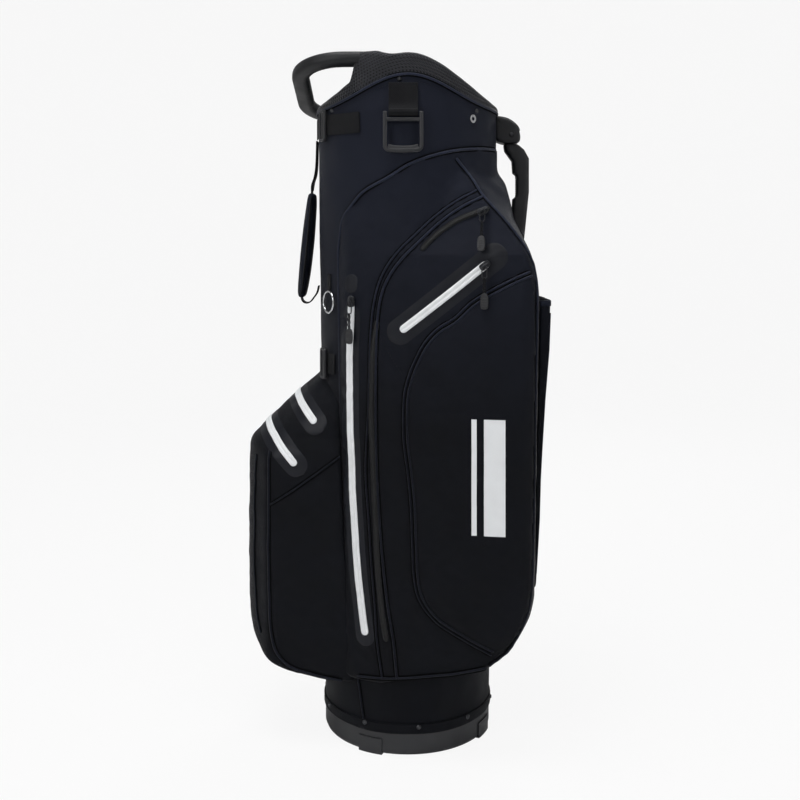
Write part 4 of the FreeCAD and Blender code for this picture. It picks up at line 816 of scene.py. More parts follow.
def finishes():
    """Every material of the bag by a maker's name, made once."""
    if FINISHES:
        return FINISHES
    c, s = settings()
    FINISHES.update(
        # coated polyester: dull, with a faint grain where light grazes it, and painted light that makes it lighter
        # towards the top
        cloth=woven_cloth("coated_polyester", tuple(c.fabric), tuple(c.fabric_dark), s.weave),
        # the same cloth folded over a cord, a little glossier where it is stretched; its colour is about twice as
        # light as the cloth, a painted highlight on the cord, with the same painted light towards the top
        piping=woven_cloth("piping_tape", darker(c.fabric, 2.1), darker(c.fabric, 1.2), s.weave * 0.7, 0.5, 0.08),
        # painted shade: the near-black strip beside each cord stands for the shade in the seam, where hardly any
        # light reaches
        fold=woven_cloth("painted_seam_shade", darker(c.fabric_dark, 0.35), darker(c.fabric_dark, 0.2), s.weave, 0.95,
            0.0, 0.2, 0.0),
        # thin lining cloth: darker and duller than the outside, with the same painted light towards the top
        lining=woven_cloth("lining_cloth", tuple(c.lining), darker(c.lining, 0.6), s.weave * 1.2, 0.85, 0.2),
        # knitted spacer mesh: a soft surface full of dark holes, partly the inner layer and partly painted shade
        mesh=spacer_mesh("spacer_mesh", tuple(c.mesh), darker(c.mesh, 0.05), s.mesh_cell),
        webbing=ribbed_webbing("nylon_webbing", tuple(c.webbing), darker(c.webbing, 0.4), 0.0022),
        # polypropylene from a spark-eroded mould: satin with a pebble grain
        plastic=moulded("moulded_polypropylene", tuple(c.plastic), 0.42),
        # glass-filled nylon of the handles: smoother and a little glossier
        handle=moulded("moulded_nylon", darker(c.plastic, 0.6), 0.48, 1400.0, 0.00003, 0.08, 0.3),
        # soft rubber of the pulls and grip: dull
        rubber=moulded("soft_rubber", darker(c.plastic, 0.75), 0.6, 1000.0, 0.00004),
        # heat-welded film: a smooth, slightly glossy skin on the cloth
        film=moulded("welded_film", tuple(c.film), 0.48, 420.0, 0.00005, 0.06, 0.22),
        pale_zip=zip_coating("coated_zip", tuple(c.zip_white), darker(c.zip_white, 0.86), 0.0019, 0.48, 0.10),
        dark_zip=zip_coating("nylon_coil", tuple(c.zip_black), darker(c.zip_black, 0.35), 0.0017, 0.45, 0.45, 0.25),
        # screen ink pressed flat on the cloth: a matt white that takes up the weave
        ink=woven_cloth("flat_print", tuple(c.print_white), darker(c.print_white, 0.93), s.weave, 0.6, 0.0, 0.2, 0.0),
        # zinc casting with black lacquer
        slider=metal("lacquered_zinc", linear("#3A3B3E"), 0.3, 0.0, 0.85),
        # bright stainless wire
        steel=metal("polished_stainless", linear("#C9CBCD"), 0.16),
        # black-oxide rivets
        rivet=metal("blackened_steel", linear("#4A4B4E"), 0.38),
        # drawn aluminium stay
        stay=metal("drawn_aluminium", linear("#A9ABAE"), 0.35, 0.00002),
    )
    return FINISHES


# ---------------------------------------------------------------- small sewn parts


def stitches(surface, path, normal, length=2.6, gap=1.3, radius=0.32, lift=0.15, slot=0):
    """Thread along a path: each stitch is a slim spindle with a point at both ends and four sides."""
    path, normal = np.asarray(path, float), np.asarray(normal, float)
    run = run_along(path)
    spots = np.arange(length, run[-1] - length, length + gap)
    middle = np.stack([np.interp(spots, run, path[:, k]) for k in range(3)], 1)
    up = unit(np.stack([np.interp(spots, run, normal[:, k]) for k in range(3)], 1))
    ahead = np.stack([np.interp(spots + 0.5, run, path[:, k]) for k in range(3)], 1)
    way = unit(ahead - middle)
    side = np.cross(way, up)
    middle = middle + up * lift
    tips = [np.repeat((middle + way * length * k)[:, None], 4, 1) for k in (-0.5, 0.5)]
    belly = np.stack([middle + side * radius, middle + up * radius, middle - side * radius, middle - up * radius], 1)
    rings = np.stack([tips[0], belly, tips[1]], 1)
    rings = np.concatenate([rings, rings[:, :, :1]], 2)
    ids = np.arange(15).reshape(3, 5)
    quads = np.stack([ids[:-1, :-1], ids[1:, :-1], ids[1:, 1:], ids[:-1, 1:]], -1).reshape(-1, 4)
    faces = (quads[None] + 15 * np.arange(len(middle))[:, None, None]).reshape(-1, 4)
    surface.points.append(rings.reshape(-1, 3))
    surface.faces.append(faces + surface.total)
    surface.uvs.append(np.zeros((faces.size, 2)))
    surface.slots.append(np.full(len(faces), slot))
    surface.total += rings.size // 3
    return surface


def face_line(line, lift, side=-1):
    """A line given by x and z laid on a side pocket's cloth, with its normals."""
    points, normal = side_point(line[:, 0], line[:, 1], lift)
    return mirrored(points, side), mirrored(normal, side)


def face_band(surface, line, half, lift, ends=(True, True), side=-1, slot=0, across=9, tuck=0.7):
    """A flat strip on a side pocket's cloth: its middle is lifted and its edges are tucked down to the cloth."""
    line = dense_ends(line, min(half, 8.0))
    way = unit(np.gradient(line, axis=0))
    beside = np.stack([-way[:, 1], way[:, 0]], 1)
    share = round_share(line, half, *ends)
    spread = np.linspace(-1, 1, across)
    flat = line[:, None] + beside[:, None] * (spread[None, :, None] * half * share[:, None, None])
    rise = lift * (1 - tuck * spread**8)[None] * np.minimum(share * 3, 1)[:, None]
    points, _ = side_point(flat[..., 0], flat[..., 1], rise)
    return surface.grid(mirrored(points, side), slot=slot)


ZIP_PROFILE = np.array([(-5, -0.4), (-5, 0.3), (-4.2, 0.95), (-1.0, 1.3), (-0.35, 0.7), (0.35, 0.7), (1.0, 1.3),
    (4.2, 0.95), (5, 0.3), (5, -0.4)])
COIL_PROFILE = np.array([(-3.8, -0.4), (-3.8, 0.2), (-2.4, 0.4), (-2.0, 1.2), (-0.5, 1.5), (0, 1.1), (0.5, 1.5),
    (2.0, 1.2), (2.4, 0.4), (3.8, 0.2), (3.8, -0.4)])


def zip_strip(surface, path, normal, profile, slot=0):
    """A zip laid along a path: its profile is two tapes that meet in the middle, and its ends are round."""
    path = np.asarray(path, float)
    full = dense_ends(np.concatenate([path, normal], 1), 5.0)
    path, normal = full[:, :3], full[:, 3:]
    share = round_share(path, 5.0)
    return surface.tube(sweep(path, profile, normal, widths=share, heights=np.minimum(share * 2, 1)), slot=slot)


def face_place(x, z, side):
    """The side pocket's flat face at x and z: a point and its outward normal, without the cloth's relief."""
    slope = 0.5 if x < -40 else 0.2
    lean = 0.348 if z > 640 else 0.0
    normal = unit(np.array([-slope, side, lean]))
    return np.array([x, side * float(face_depth(np.float64(x), np.float64(z))), z]), normal


def straight_parking(low, high, side, parked):
    """Where a straight zip's slider stands: 10.5 mm from the end it is parked at, on the zip's face."""
    start, first = face_place(*low, side)
    end, last = face_place(*high, side)
    out = unit(first + last)
    way = unit(end - start)
    out = unit(out - way * (out @ way))
    margin = 10.5 / np.linalg.norm(end - start)
    share = margin + (1 - 2 * margin) * parked
    return start + (end - start) * share + out * 2.6, way, out


def arc_parking(half_angle, along):
    """Where a slider on the ball pocket's crown stands: 8 degrees from the far end."""
    angle = -math.radians(half_angle - 8)
    foot, out = crown_point(np.float64(angle), along, 2.1)
    way = -math.sin(angle) * BALL_UP + math.cos(angle) * BALL_ACROSS
    return foot, way, out


def zip_hardware(name, foot, way, out):
    """A cast slider on its zip, and the pull that hangs from it: a wire link, a doubled cord and a tab."""
    made = finishes()
    across = np.cross(out, way)
    slider = Surface()
    body = rounded_box(7.2, 4.4, 3.2)
    body[:, 1] *= 1 - 0.18 * (body[:, 0] > 0) * body[:, 0] / 7.2
    for level, half in ((0.9, 0.8), (3.6, 0.9)):
        plate(slider, body, half, 0.6, (foot + out * level, way, across, out), step=1.0, rows=4)
    plate(slider, rounded_box(5.0, 2.0, 1.2), 1.6, 0.3, (foot + out * 2.2, way, across, out), step=1.0, rows=3)
    arch = spline([(-5.2, 4.0), (-4.6, 5.8), (-1.5, 7.6), (1.5, 7.6), (4.6, 5.8), (5.2, 4.0)], 0.8)
    cord_piece(slider, foot + arch[:, :1] * way + arch[:, 1:] * out, 0.9, across, count=8)
    slider.build(f"{name}_slider_cast", made["slider"], f"{name}_slider_body", [f"{name}_slider"], "slider_metal")

    hang = unit(np.array([0, 0, -1.0]) - out * -out[2])
    beside = np.cross(hang, out)
    pivot = foot + out * 6.8
    pull = Surface()
    link = rounded_box(3.1, 8.2, 3.0, 5)
    ring = even(pivot + link[:, :1] * beside + (link[:, 1:] + 7.4) * hang, 0.9, closed=True)
    pull.tube(sweep(ring, circle(0.75, 8), out, closed=True), wrap_path=True, slot=0)
    loop = spline([(-1.0, 37), (-1.0, 24), (-0.9, 17.5), (0, 15.0), (0.9, 17.5), (1.0, 24), (1.0, 37)], 1.2)
    twist = 0.35 * np.sin(loop[:, 1:] * 0.9)
    cord_piece(pull, pivot + (loop[:, :1] + twist) * beside + loop[:, 1:] * hang + 0.4 * out, 0.85, out, slot=1,
        count=8)
    tab = spline([(-2.0, 34.6), (2.0, 34.6), (4.3, 37.5), (5.0, 44), (4.6, 51.5), (2.6, 53.8), (-2.6, 53.8),
        (-4.6, 51.5), (-5.0, 44), (-4.3, 37.5)], 0.8, closed=True)
    plate(pull, tab, 1.6, 1.1, (pivot, beside, hang, out), slot=2, step=0.8)
    for level in (41.0, 44.0, 47.0, 50.0):
        bar = np.array([(-3.2, level), (3.2, level)])
        bar = even(bar, 0.9)
        cord_piece(pull, pivot + bar[:, :1] * beside + bar[:, 1:] * hang + 1.5 * out, 0.55, out, slot=2, count=6)
    pull.build(f"{name}_pull_cord", [made["slider"], made["webbing"], made["rubber"]], f"{name}_pull_body",
        [f"{name}_pull"], "pull_rubber")


def side_pocket(side):
    """One side pocket's cloth: rays from a point inside leave its shape at each height, the section is
    stepped evenly along its length, and the sewn relief is added along the normal. The near side is
    worked out and the far side mirrors it."""
    rows, fine, columns = 236, 380, 176
    radius = tube_radius(700.0)
    right = math.atan2(-17 - CENTRE[1], math.sqrt(radius**2 - 17**2) - CENTRE[0])
    v = np.linspace(0, 1, rows)
    left_z = 94 + (636 - 94) * v
    left_x = np.interp(left_z, FRONT_EDGE[:, 0], FRONT_EDGE[:, 1])
    left_y = -np.sqrt(tube_radius(left_z) ** 2 - left_x**2)
    left = np.arctan2(left_y - CENTRE[1], left_x - CENTRE[0])
    left = np.where(left > 0, left - math.tau, left)
    u = np.linspace(0, 1, fine)
    turn = left[:, None] + (right - left[:, None]) * u
    way = np.stack([np.cos(turn), np.sin(turn), np.zeros_like(turn)], -1)
    reach = (way[..., :2] @ -CENTRE) + np.sqrt((way[..., :2] @ CENTRE) ** 2 - CENTRE @ CENTRE + 123.5**2)
    top_x = CENTRE[0] + reach * way[..., 0]
    face_x = np.clip(CENTRE[0] + 105 * way[..., 0] / np.maximum(-way[..., 1], 0.25), -66, 178)
    top = np.interp(top_x, TOP_EDGE[:, 0], TOP_EDGE[:, 1])
    low = np.interp(face_x, BOTTOM_EDGE[:, 0], BOTTOM_EDGE[:, 1])
    corner = 9.0
    bend = np.linspace(0, math.pi / 2, 7)[:-1]
    inset = np.concatenate([[60.0, 25.0], corner * (1 - np.sin(bend)), np.zeros(rows)])
    rise = np.concatenate([[0.0, 0.0], corner * (1 - np.cos(bend))])
    height = np.concatenate([low[:1] + rise[:, None], low + corner + (top - low - corner) * v[:, None]])
    way = np.concatenate([np.repeat(way[:1], len(rise), 0), way])
    start = np.concatenate([np.broadcast_to(CENTRE, height.shape + (2,)), height[..., None]], -1)
    base = hit(lambda p: side_shape(p, inset[:, None]), start, way, 330.0)
    run = np.concatenate([np.zeros((len(base), 1)),
        np.cumsum(np.linalg.norm(np.diff(base, axis=1), axis=2), axis=1)], 1)
    even_rows = np.stack([
        np.stack([np.interp(np.linspace(0, r[-1], columns), r, row[:, k]) for k in range(3)], -1)
        for r, row in zip(run, base)
    ])
    normal = slope_of(lambda p: side_shape(p, inset[:, None]), even_rows)
    facing = soft_step((-normal[..., 1] - 0.35) / 0.4)
    relief = side_relief(even_rows[..., 0], even_rows[..., 2]) * facing
    slack = 0.5 * ripple(even_rows[..., 1], even_rows[..., 2], 14, 60)
    relief += slack * (1 - facing) * soft_step((178 - even_rows[..., 0]) / 6)
    label = "near" if side < 0 else "far"
    cloth = Surface().grid(mirrored(even_rows + normal * relief[..., None], side))
    thing = cloth.build(f"{label}_pocket_cloth", finishes()["cloth"], "bag", [f"{label}_side_pocket"], "bag_fabric",
                        outward_from=(60, side * 70, 420))
    return thing


class BagOperator:
    """What every step shares: a failed step raises, so that nothing goes on without it."""

    bl_options = {"REGISTER", "UNDO"}

    def execute(self, context):
        self.make(finishes(), settings()[1])
        return {"FINISHED"}


class BAG_OT_stage(BagOperator, bpy.types.Operator):
    """Sets the pale floor and backdrop, the lamps, the world and the camera"""

    bl_idname = "bag.stage"
    bl_label = "Stage"

    def make(self, made, sizes):
        scene = bpy.context.scene
        scene.view_settings.view_transform = "Standard"
        # a bowl: flat to 2.6 m, then a quarter circle of 1.2 m and a wall
        bend = np.linspace(0, math.pi / 2, 24)
        run = np.concatenate([np.linspace(0, 2.6, 14)[:-1], 2.6 + 1.2 * np.sin(bend), [3.8]])
        rise = np.concatenate([np.zeros(13), 1.2 * (1 - np.cos(bend)), [5.2]])
        turn = np.linspace(0, math.tau, 97)[:-1][:, None]
        points = np.stack(np.broadcast_arrays(run * np.cos(turn), run * np.sin(turn), rise - 0.0004), -1) * 1000
        mesh_piece = Surface().grid(points, wrap_u=True)
        paper, tree, surface = new_material("seamless_paper", Base_Color=linear("#F2F2F2"), Roughness=0.95,
            Specular_IOR_Level=0.1)
        seen = add(tree, "LightPath")
        glow = add(tree, "Emission", {"Color": linear("#FFFFFF"), "Strength": 0.97})
        share = add(tree, "Math", {0: seen.outputs["Is Camera Ray"], 1: 0.93}, operation="MULTIPLY")
        both = add(tree, "MixShader", {0: share.outputs[0], 1: surface.outputs["BSDF"], 2: glow.outputs[0]})
        tree.links.new(both.outputs[0], next(n for n in tree.nodes if n.type == "OUTPUT_MATERIAL").inputs["Surface"])
        floor = mesh_piece.build("studio_floor", paper, outward_from=(0, 0, -4000))
        floor.parent = None
        del floor["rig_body"]

        world = bpy.data.worlds.new("studio")
        world.use_nodes = True
        world.node_tree.nodes.clear()
        seen = add(world.node_tree, "LightPath")
        level = add(world.node_tree, "MapRange", {"Value": seen.outputs["Is Camera Ray"], "To Min": 0.15,
            "To Max": 0.95})
        back = add(world.node_tree, "Background", {"Color": linear("#FFFFFF"), "Strength": level.outputs[0]})
        add(world.node_tree, "OutputWorld", {"Surface": back.outputs[0]})
        scene.world = world

        for name, place, aim, size, power in (
            ("top_softbox", (-0.3, -0.5, 2.5), (0, 0, 0.5), 1.2, 34),
            ("front_left", (-1.7, -1.9, 1.5), (0, 0, 0.5), 0.8, 17),
            ("front_right", (1.8, -1.7, 1.3), (0, 0, 0.45), 0.7, 11),
            ("back_light", (0.8, 1.9, 1.9), (0, 0, 0.5), 1.0, 15),
        ):
            lamp = bpy.data.lights.new(name, "AREA")
            lamp.shape, lamp.size, lamp.energy = "DISK", size, power
            holder = bpy.data.objects.new(name, lamp)
            bpy.context.collection.objects.link(holder)
            holder.location = place
            toward = np.array(aim) - np.array(place)
            yaw = math.atan2(toward[1], toward[0]) - math.pi / 2
            pitch = math.acos(-toward[2] / np.linalg.norm(toward))
            holder.rotation_euler = (pitch, 0, yaw)

        lens = bpy.data.cameras.new("product_camera")
        lens.sensor_width, lens.lens, lens.shift_y = 36.0, 47.7, -0.2
        lens.clip_end = 50
        camera = bpy.data.objects.new("product_camera", lens)
        bpy.context.collection.objects.link(camera)
        camera.location = (-0.010, -1.463, 0.658)
        camera.rotation_euler = (math.pi / 2, 0, 0)
        scene.camera = camera


def dress(node, finish):
    """Gives a CAD node that keeps its shape its finish."""
    thing = frame["nodes"][node]
    for place in thing.material_slots:
        place.material = finish
    if not thing.material_slots:
        thing.data.materials.append(finish)


class BAG_OT_base(BagOperator, bpy.types.Operator):
    """Finishes the moulded base and sews the hem and its rivets round it"""

    bl_idname = "bag.base"
    bl_label = "Base"

    def make(self, made, sizes):
        dress("base_cup", made["plastic"])
        dress("base_rivets", made["rivet"])
        dress("stay_rods", made["stay"])
        turn = np.linspace(0, math.tau, 361)[:-1]
        # the hem is a flat loop whose edges roll in
        path = round_tube(turn, 34.8 + 0.25 * np.sin(turn * 7), 0.95)
        hem = Surface().tube(sweep(path, squircle(6.3, 0.85, 5, 24), outward_on_tube(path), closed=True),
            wrap_path=True)
        thread = outward_on_tube(path)
        for level in (30.4, 39.4):
            line = round_tube(turn, level, 1.75)
            stitches(hem, line, thread, slot=1)
        hem.build("base_hem", [made["cloth"], made["webbing"]], "bag", ["hem_band"], "bag_fabric")


class BAG_OT_tube(BagOperator, bpy.types.Operator):
    """Makes the padded tube: a cone of slack cloth with its cuff seam, side seams and stitching"""

    bl_idname = "bag.tube"
    bl_label = "Tube"

    def make(self, made, sizes):
        turn = np.linspace(0, math.tau, 241)[:-1][:, None]
        share = np.linspace(0, 1, 150)[None] ** 0.95
        z = 28.6 + (seam_height(turn) + 1.0 - 28.6) * share
        slack = 0.55 * ripple(turn * 118, z, 3, 110) + 0.2 * ripple(turn * 118, z, 4, 38)
        free = soft_step((z - 42) / 12) * soft_step((seam_height(turn) - z) / 10)
        below = seam_height(turn) - z
        crease = -0.8 * np.exp(-(((below - 8.5) / 1.6) ** 2))
        cloth = Surface().grid(round_tube(turn, z, slack * free + crease - 0.1), wrap_u=True)
        tube = cloth.build("tube_cloth", made["cloth"], "bag", ["tube_shell"], "bag_fabric", outward_from=(0, 0, 450))
        thicken(tube, 2.2)

        seams = Surface()
        ring = np.linspace(0, math.tau, 481)[:-1]
        path = round_tube(ring, seam_height(ring), 0.9)
        # a near-black strip under the cuff's piping: painted shade in the seam
        seams.tube(sweep(path, squircle(3.4, 0.4, 4.0, 12), outward_on_tube(path), closed=True), wrap_path=True,
            slot=2)
        seams.tube(sweep(path, circle(sizes.piping / MM * 1.1, 10), outward_on_tube(path), closed=True),
            wrap_path=True)
        line = round_tube(ring, seam_height(ring) - 8.5, -0.3)
        stitches(seams, np.concatenate([line, line[:1]]), outward_on_tube(np.concatenate([line, line[:1]])), slot=1)
        # the seam that runs down from the pocket to the hem
        down = spline([(-65, 96), (-61, 70), (-57, 41)], 2.0)
        for side in (-1, 1):
            path = on_tube(down[:, 0], down[:, 1], 0.3, side)
            welt(seams, path, 1.3, outward_on_tube(path))
        seams.build("tube_seams", [made["piping"], made["webbing"], made["fold"]], "bag", (), "bag_fabric")


class BAG_OT_cuff(BagOperator, bpy.types.Operator):
    """Stuffs the mesh roll round the mouth and sets the ring, rivets and eyelet of the cuff"""

    bl_idname = "bag.cuff"
    bl_label = "Cuff"

    def make(self, made, sizes):
        dress("top_ring", made["plastic"])
        dress("cuff_rivets", made["rivet"])
        dress("steel_eyelet", made["steel"])
        turn = np.linspace(-math.pi, math.pi, 641)[:-1][:, None]
        degrees = np.degrees(turn)
        # where the loop handle's near arm comes out, the roll rises and bulges over it
        arm = soft_step((degrees + 128) / 9) * soft_step((-94 - degrees) / 16)
        top = rim_height(turn) + arm * np.maximum(899 - rim_height(turn), 0)
        low = seam_height(turn) + 0.6
        outer = np.linspace(0, 1, 24)[None]
        bend = np.linspace(0, math.pi, 26)[None, 1:]
        inner = np.linspace(0, 1, 8)[None, 1:]
        thick = 5.2 + 1.6 * arm
        wall_top = top - thick
        wall_z = low + np.maximum(wall_top - low, 1.0) * outer
        puff = (1.5 + 3.0 * arm) * np.sin(np.clip(outer, 0, 1) * math.pi * 0.5) ** 0.8
        wall_r = 123.6 + puff * (0.4 + 0.6 * soft_step((top - low) / 20)) + outer * 0
        middle_r = wall_r[:, -1:] - thick
        bend_r = middle_r + thick * np.cos(bend)
        bend_z = np.maximum(wall_top, low + 1.0) + thick * np.sin(bend)
        in_r = bend_r[:, -1:] + (113.6 - bend_r[:, -1:]) * soft_step(inner)
        in_z = bend_z[:, -1:] - 9.0 * inner
        r = np.concatenate([wall_r, bend_r, in_r], 1)
        z = np.concatenate([wall_z, bend_z, in_z], 1)
        soft = 0.6 * ripple(turn * 118, z, 8, 45)
        r = r + soft * soft_step((z - low) / 6)
        points = np.stack([r * np.cos(turn), r * np.sin(turn), z], -1)
        # the knit's holes: three cosines along directions 120 degrees apart, as in its finish
        run_u, run_v = lengths(np.concatenate([points, points[:1]]), 0)[:-1], lengths(points, 1)
        wave = math.tau / (sizes.mesh_cell * math.sqrt(3) / 2)
        lattice = sum(np.cos(wave * (run_u * math.cos(a) + run_v * math.sin(a))) for a in np.radians([90, 210, 330]))
        ahead, beside = np.gradient(points, axis=0), np.gradient(points, axis=1)
        normal = unit(np.cross(ahead, beside))
        normal *= np.sign((normal * (points - np.stack([118 * np.cos(turn), 118 * np.sin(turn),
            z.mean(1, keepdims=True)], -1))).sum())
        points = points - normal * (0.55 * soft_step(lattice / 2.4))[..., None]
        roll = Surface().grid(points, wrap_u=True)
        collar = roll.build("collar_roll", made["mesh"], "bag", ["mesh_collar"], "mesh_fabric",
            outward_from=(0, 0, 700))


class BAG_OT_dividers(BagOperator, bpy.types.Operator):
    """Hangs the full-length divider panels from the moulded fourteen-way top"""

    bl_idname = "bag.dividers"
    bl_label = "Dividers"
    # distance between long panels, height of the middle one, and how much lower each next one ends
    SPACING, LEVEL, STEP = 56, 795.7, 11

    def make(self, made, sizes):
        for node in ("divider_bars_long", "divider_bars_cross"):
            dress(node, made["plastic"])
        for number, line in enumerate((-1, 0, 1)):
            y, top = line * self.SPACING, self.LEVEL - line * self.STEP
            low_reach = math.sqrt(106.5**2 - y**2) - (8.0 if y else 0)
            self.panel(made, f"long_panel_{number}", (-low_reach, y), (low_reach, y), top, "divider_panels_long")
        number = 0
        for line in (-2, -1, 0, 1):
            outer = line in (-2, 1)
            for x in (-38, 38) if outer else (-56, 0, 56):
                if outer:
                    reach = math.sqrt(106.0**2 - x**2)
                    ends = sorted((math.copysign(self.SPACING + 1.2, line + 0.5), math.copysign(reach, line + 0.5)))
                else:
                    ends = (line * self.SPACING + 1.2, (line + 1) * self.SPACING - 1.2)
                top = self.LEVEL - (line + 0.5) * self.STEP - self.STEP / 2
                self.panel(made, f"cross_panel_{number}", (x, ends[0]), (x, ends[1]), top, "divider_panels_cross")
                number += 1

    def panel(self, made, name, start, end, top, node):
        """A hanging panel: a flat strip from start to end that bows a little sideways, with its wall."""
        start, end = np.array(start, float), np.array(end, float)
        share = np.linspace(0, 1, 14)[:, None]
        z = np.linspace(8, top, 60)[None]
        way = unit(end - start)
        off = np.array([-way[1], way[0]])
        bow = 0.5 * np.sin(share * math.pi) * np.sin(z / 60 + start[0] + start[1])
        flat = start + (end - start) * share[..., None] + off * bow[..., None]
        points = np.concatenate([flat, np.broadcast_to(z, flat.shape[:2])[..., None]], -1)
        sheet = Surface().grid(points).build(name, made["lining"], "bag", [node], "divider_fabric",
            outward_from=(0, -400, 400))
        thicken(sheet, 0.8, 0.0)


class BAG_OT_loop_handle(BagOperator, bpy.types.Operator):
    """Moulds the sloping loop handle at the front, with ribs on its inner face"""

    bl_idname = "bag.loop_handle"
    bl_label = "Loop Handle"

    def make(self, made, sizes):
        tilt, reach, bend = math.radians(14.5), 143.0, 62.0
        half = 101 / math.cos(tilt)
        arc = np.linspace(0, math.pi / 2, 40)
        near = np.stack([-reach + bend - bend * np.sin(arc), -half + bend - bend * np.cos(arc)], 1)
        far = near[::-1] * np.array([1, -1])
        flat = even(np.concatenate([[(-50, -half)], near, far, [(-50, half)]]), 0.6)
        path = np.stack([flat[:, 0], flat[:, 1] * math.cos(tilt), 864 - flat[:, 1] * math.sin(tilt)], -1)
        up = np.array([0, math.sin(tilt), math.cos(tilt)])
        profile = squircle(11.5, 8.5, 3.0, 48)
        rings = sweep(path, profile, up)
        run = run_along(path)
        side = unit(np.cross(unit(np.gradient(path, axis=0)), up))
        # ribs: grooves a rib pitch apart across the middle of the inner face
        facing = soft_step((profile[:, 0] / 11.5 - 0.15) / 0.2) * soft_step((6.0 - profile[:, 1]) / 2.0)
        groove = soft_step((np.sin(run * math.tau / (sizes.rib_pitch / MM)) + 0.1) / 0.7)
        ribbed = soft_step((run - 42) / 4) * soft_step((run[-1] - 22 - run) / 4)
        rings = rings - side[:, None] * (2.2 * groove * ribbed)[:, None, None] * facing[None, :, None]
        # the bar stays outside the tube
        distance = np.hypot(rings[..., 0], rings[..., 1])
        stop = np.where(distance < 119.8, 119.8 / distance, 1.0)
        rings[..., 0] *= stop
        rings[..., 1] *= stop
        Surface().tube(rings).build("loop_handle_bar", made["handle"], "bag", ["loop_handle"], "moulded_black")


class BAG_OT_lift_handle(BagOperator, bpy.types.Operator):
    """Moulds the lift handle at the back with its grip, and the hood that holds it"""

    bl_idname = "bag.lift_handle"
    bl_label = "Lift Handle"

    def make(self, made, sizes):
        outer = np.array([(632, 135), (634, 142), (640, 151), (660, 161), (724, 167.5), (770, 167.5),
            (782, 161), (789.8, 152)])
        inner = np.array([(632, 124.6), (656, 126.5), (668, 138), (680, 143), (714, 145), (717.5, 149),
            (746.5, 149), (750, 145), (766, 144), (780, 134), (789.8, 132.5)])
        z = np.concatenate([[632.0, 632.4, 633.4], np.linspace(635, 787, 150), [788.8, 789.5, 789.8]])
        shrink = np.concatenate([[0.55, 0.85, 0.95], np.ones(150), [0.96, 0.9, 0.7]])
        x_out, x_in = np.interp(z, outer[:, 0], outer[:, 1]), np.interp(z, inner[:, 0], inner[:, 1])
        middle, half = (x_out + x_in) / 2, (x_out - x_in) / 2
        width = 12 - 1.6 * np.exp(-(((z - 732) / 26) ** 4))
        profile = squircle(1, 1, 4.2, 36)
        a = middle[:, None] + profile[None, :, 0] * (half * shrink)[:, None]
        b = profile[None, :, 1] * (width * shrink)[:, None]
        # the grip's inner half has fine ribs between a lip at each end
        grip = soft_step((z - 719) / 1.5) * soft_step((745 - z) / 1.5)
        ribs = 0.5 * (1 + np.sin(z * math.tau / 3.0)) * grip
        a = a + (ribs[:, None] * 0.8) * (profile[None, :, 0] < -0.6)
        Surface().tube(np.stack([a, b, np.broadcast_to(z[:, None], a.shape)], -1)).build(
            "lift_handle_bar", made["handle"], "bag", ["lift_handle"], "moulded_black"
        )
        along = ((0, 0, 0), (1, 0, 0), (0, 0, 1), (0, 1, 0))
        hood = Surface()
        outline = spline([(120, 826), (130, 825.5), (140, 822), (149, 815), (153.5, 806), (154.5, 797),
            (152, 791.5), (143, 790.6), (131, 790.6), (120, 797), (119, 812)], 1.5, closed=True)
        plate(hood, outline, 17, 4.0, along, slot=0)
        pad = spline([(121, 827.5), (131, 827), (141, 823.5), (150.5, 816), (154.5, 808), (150, 808),
            (140, 817), (130, 822), (121, 823)], 1.2, closed=True)
        plate(hood, pad, 13.5, 2.5, along, slot=1)
        hood.build("lift_handle_cap", [made["handle"], made["mesh"]], "bag", ["lift_handle_hood"], "moulded_black")
        dress("lift_handle_plate", made["plastic"])
        dress("handle_screws", made["rivet"])


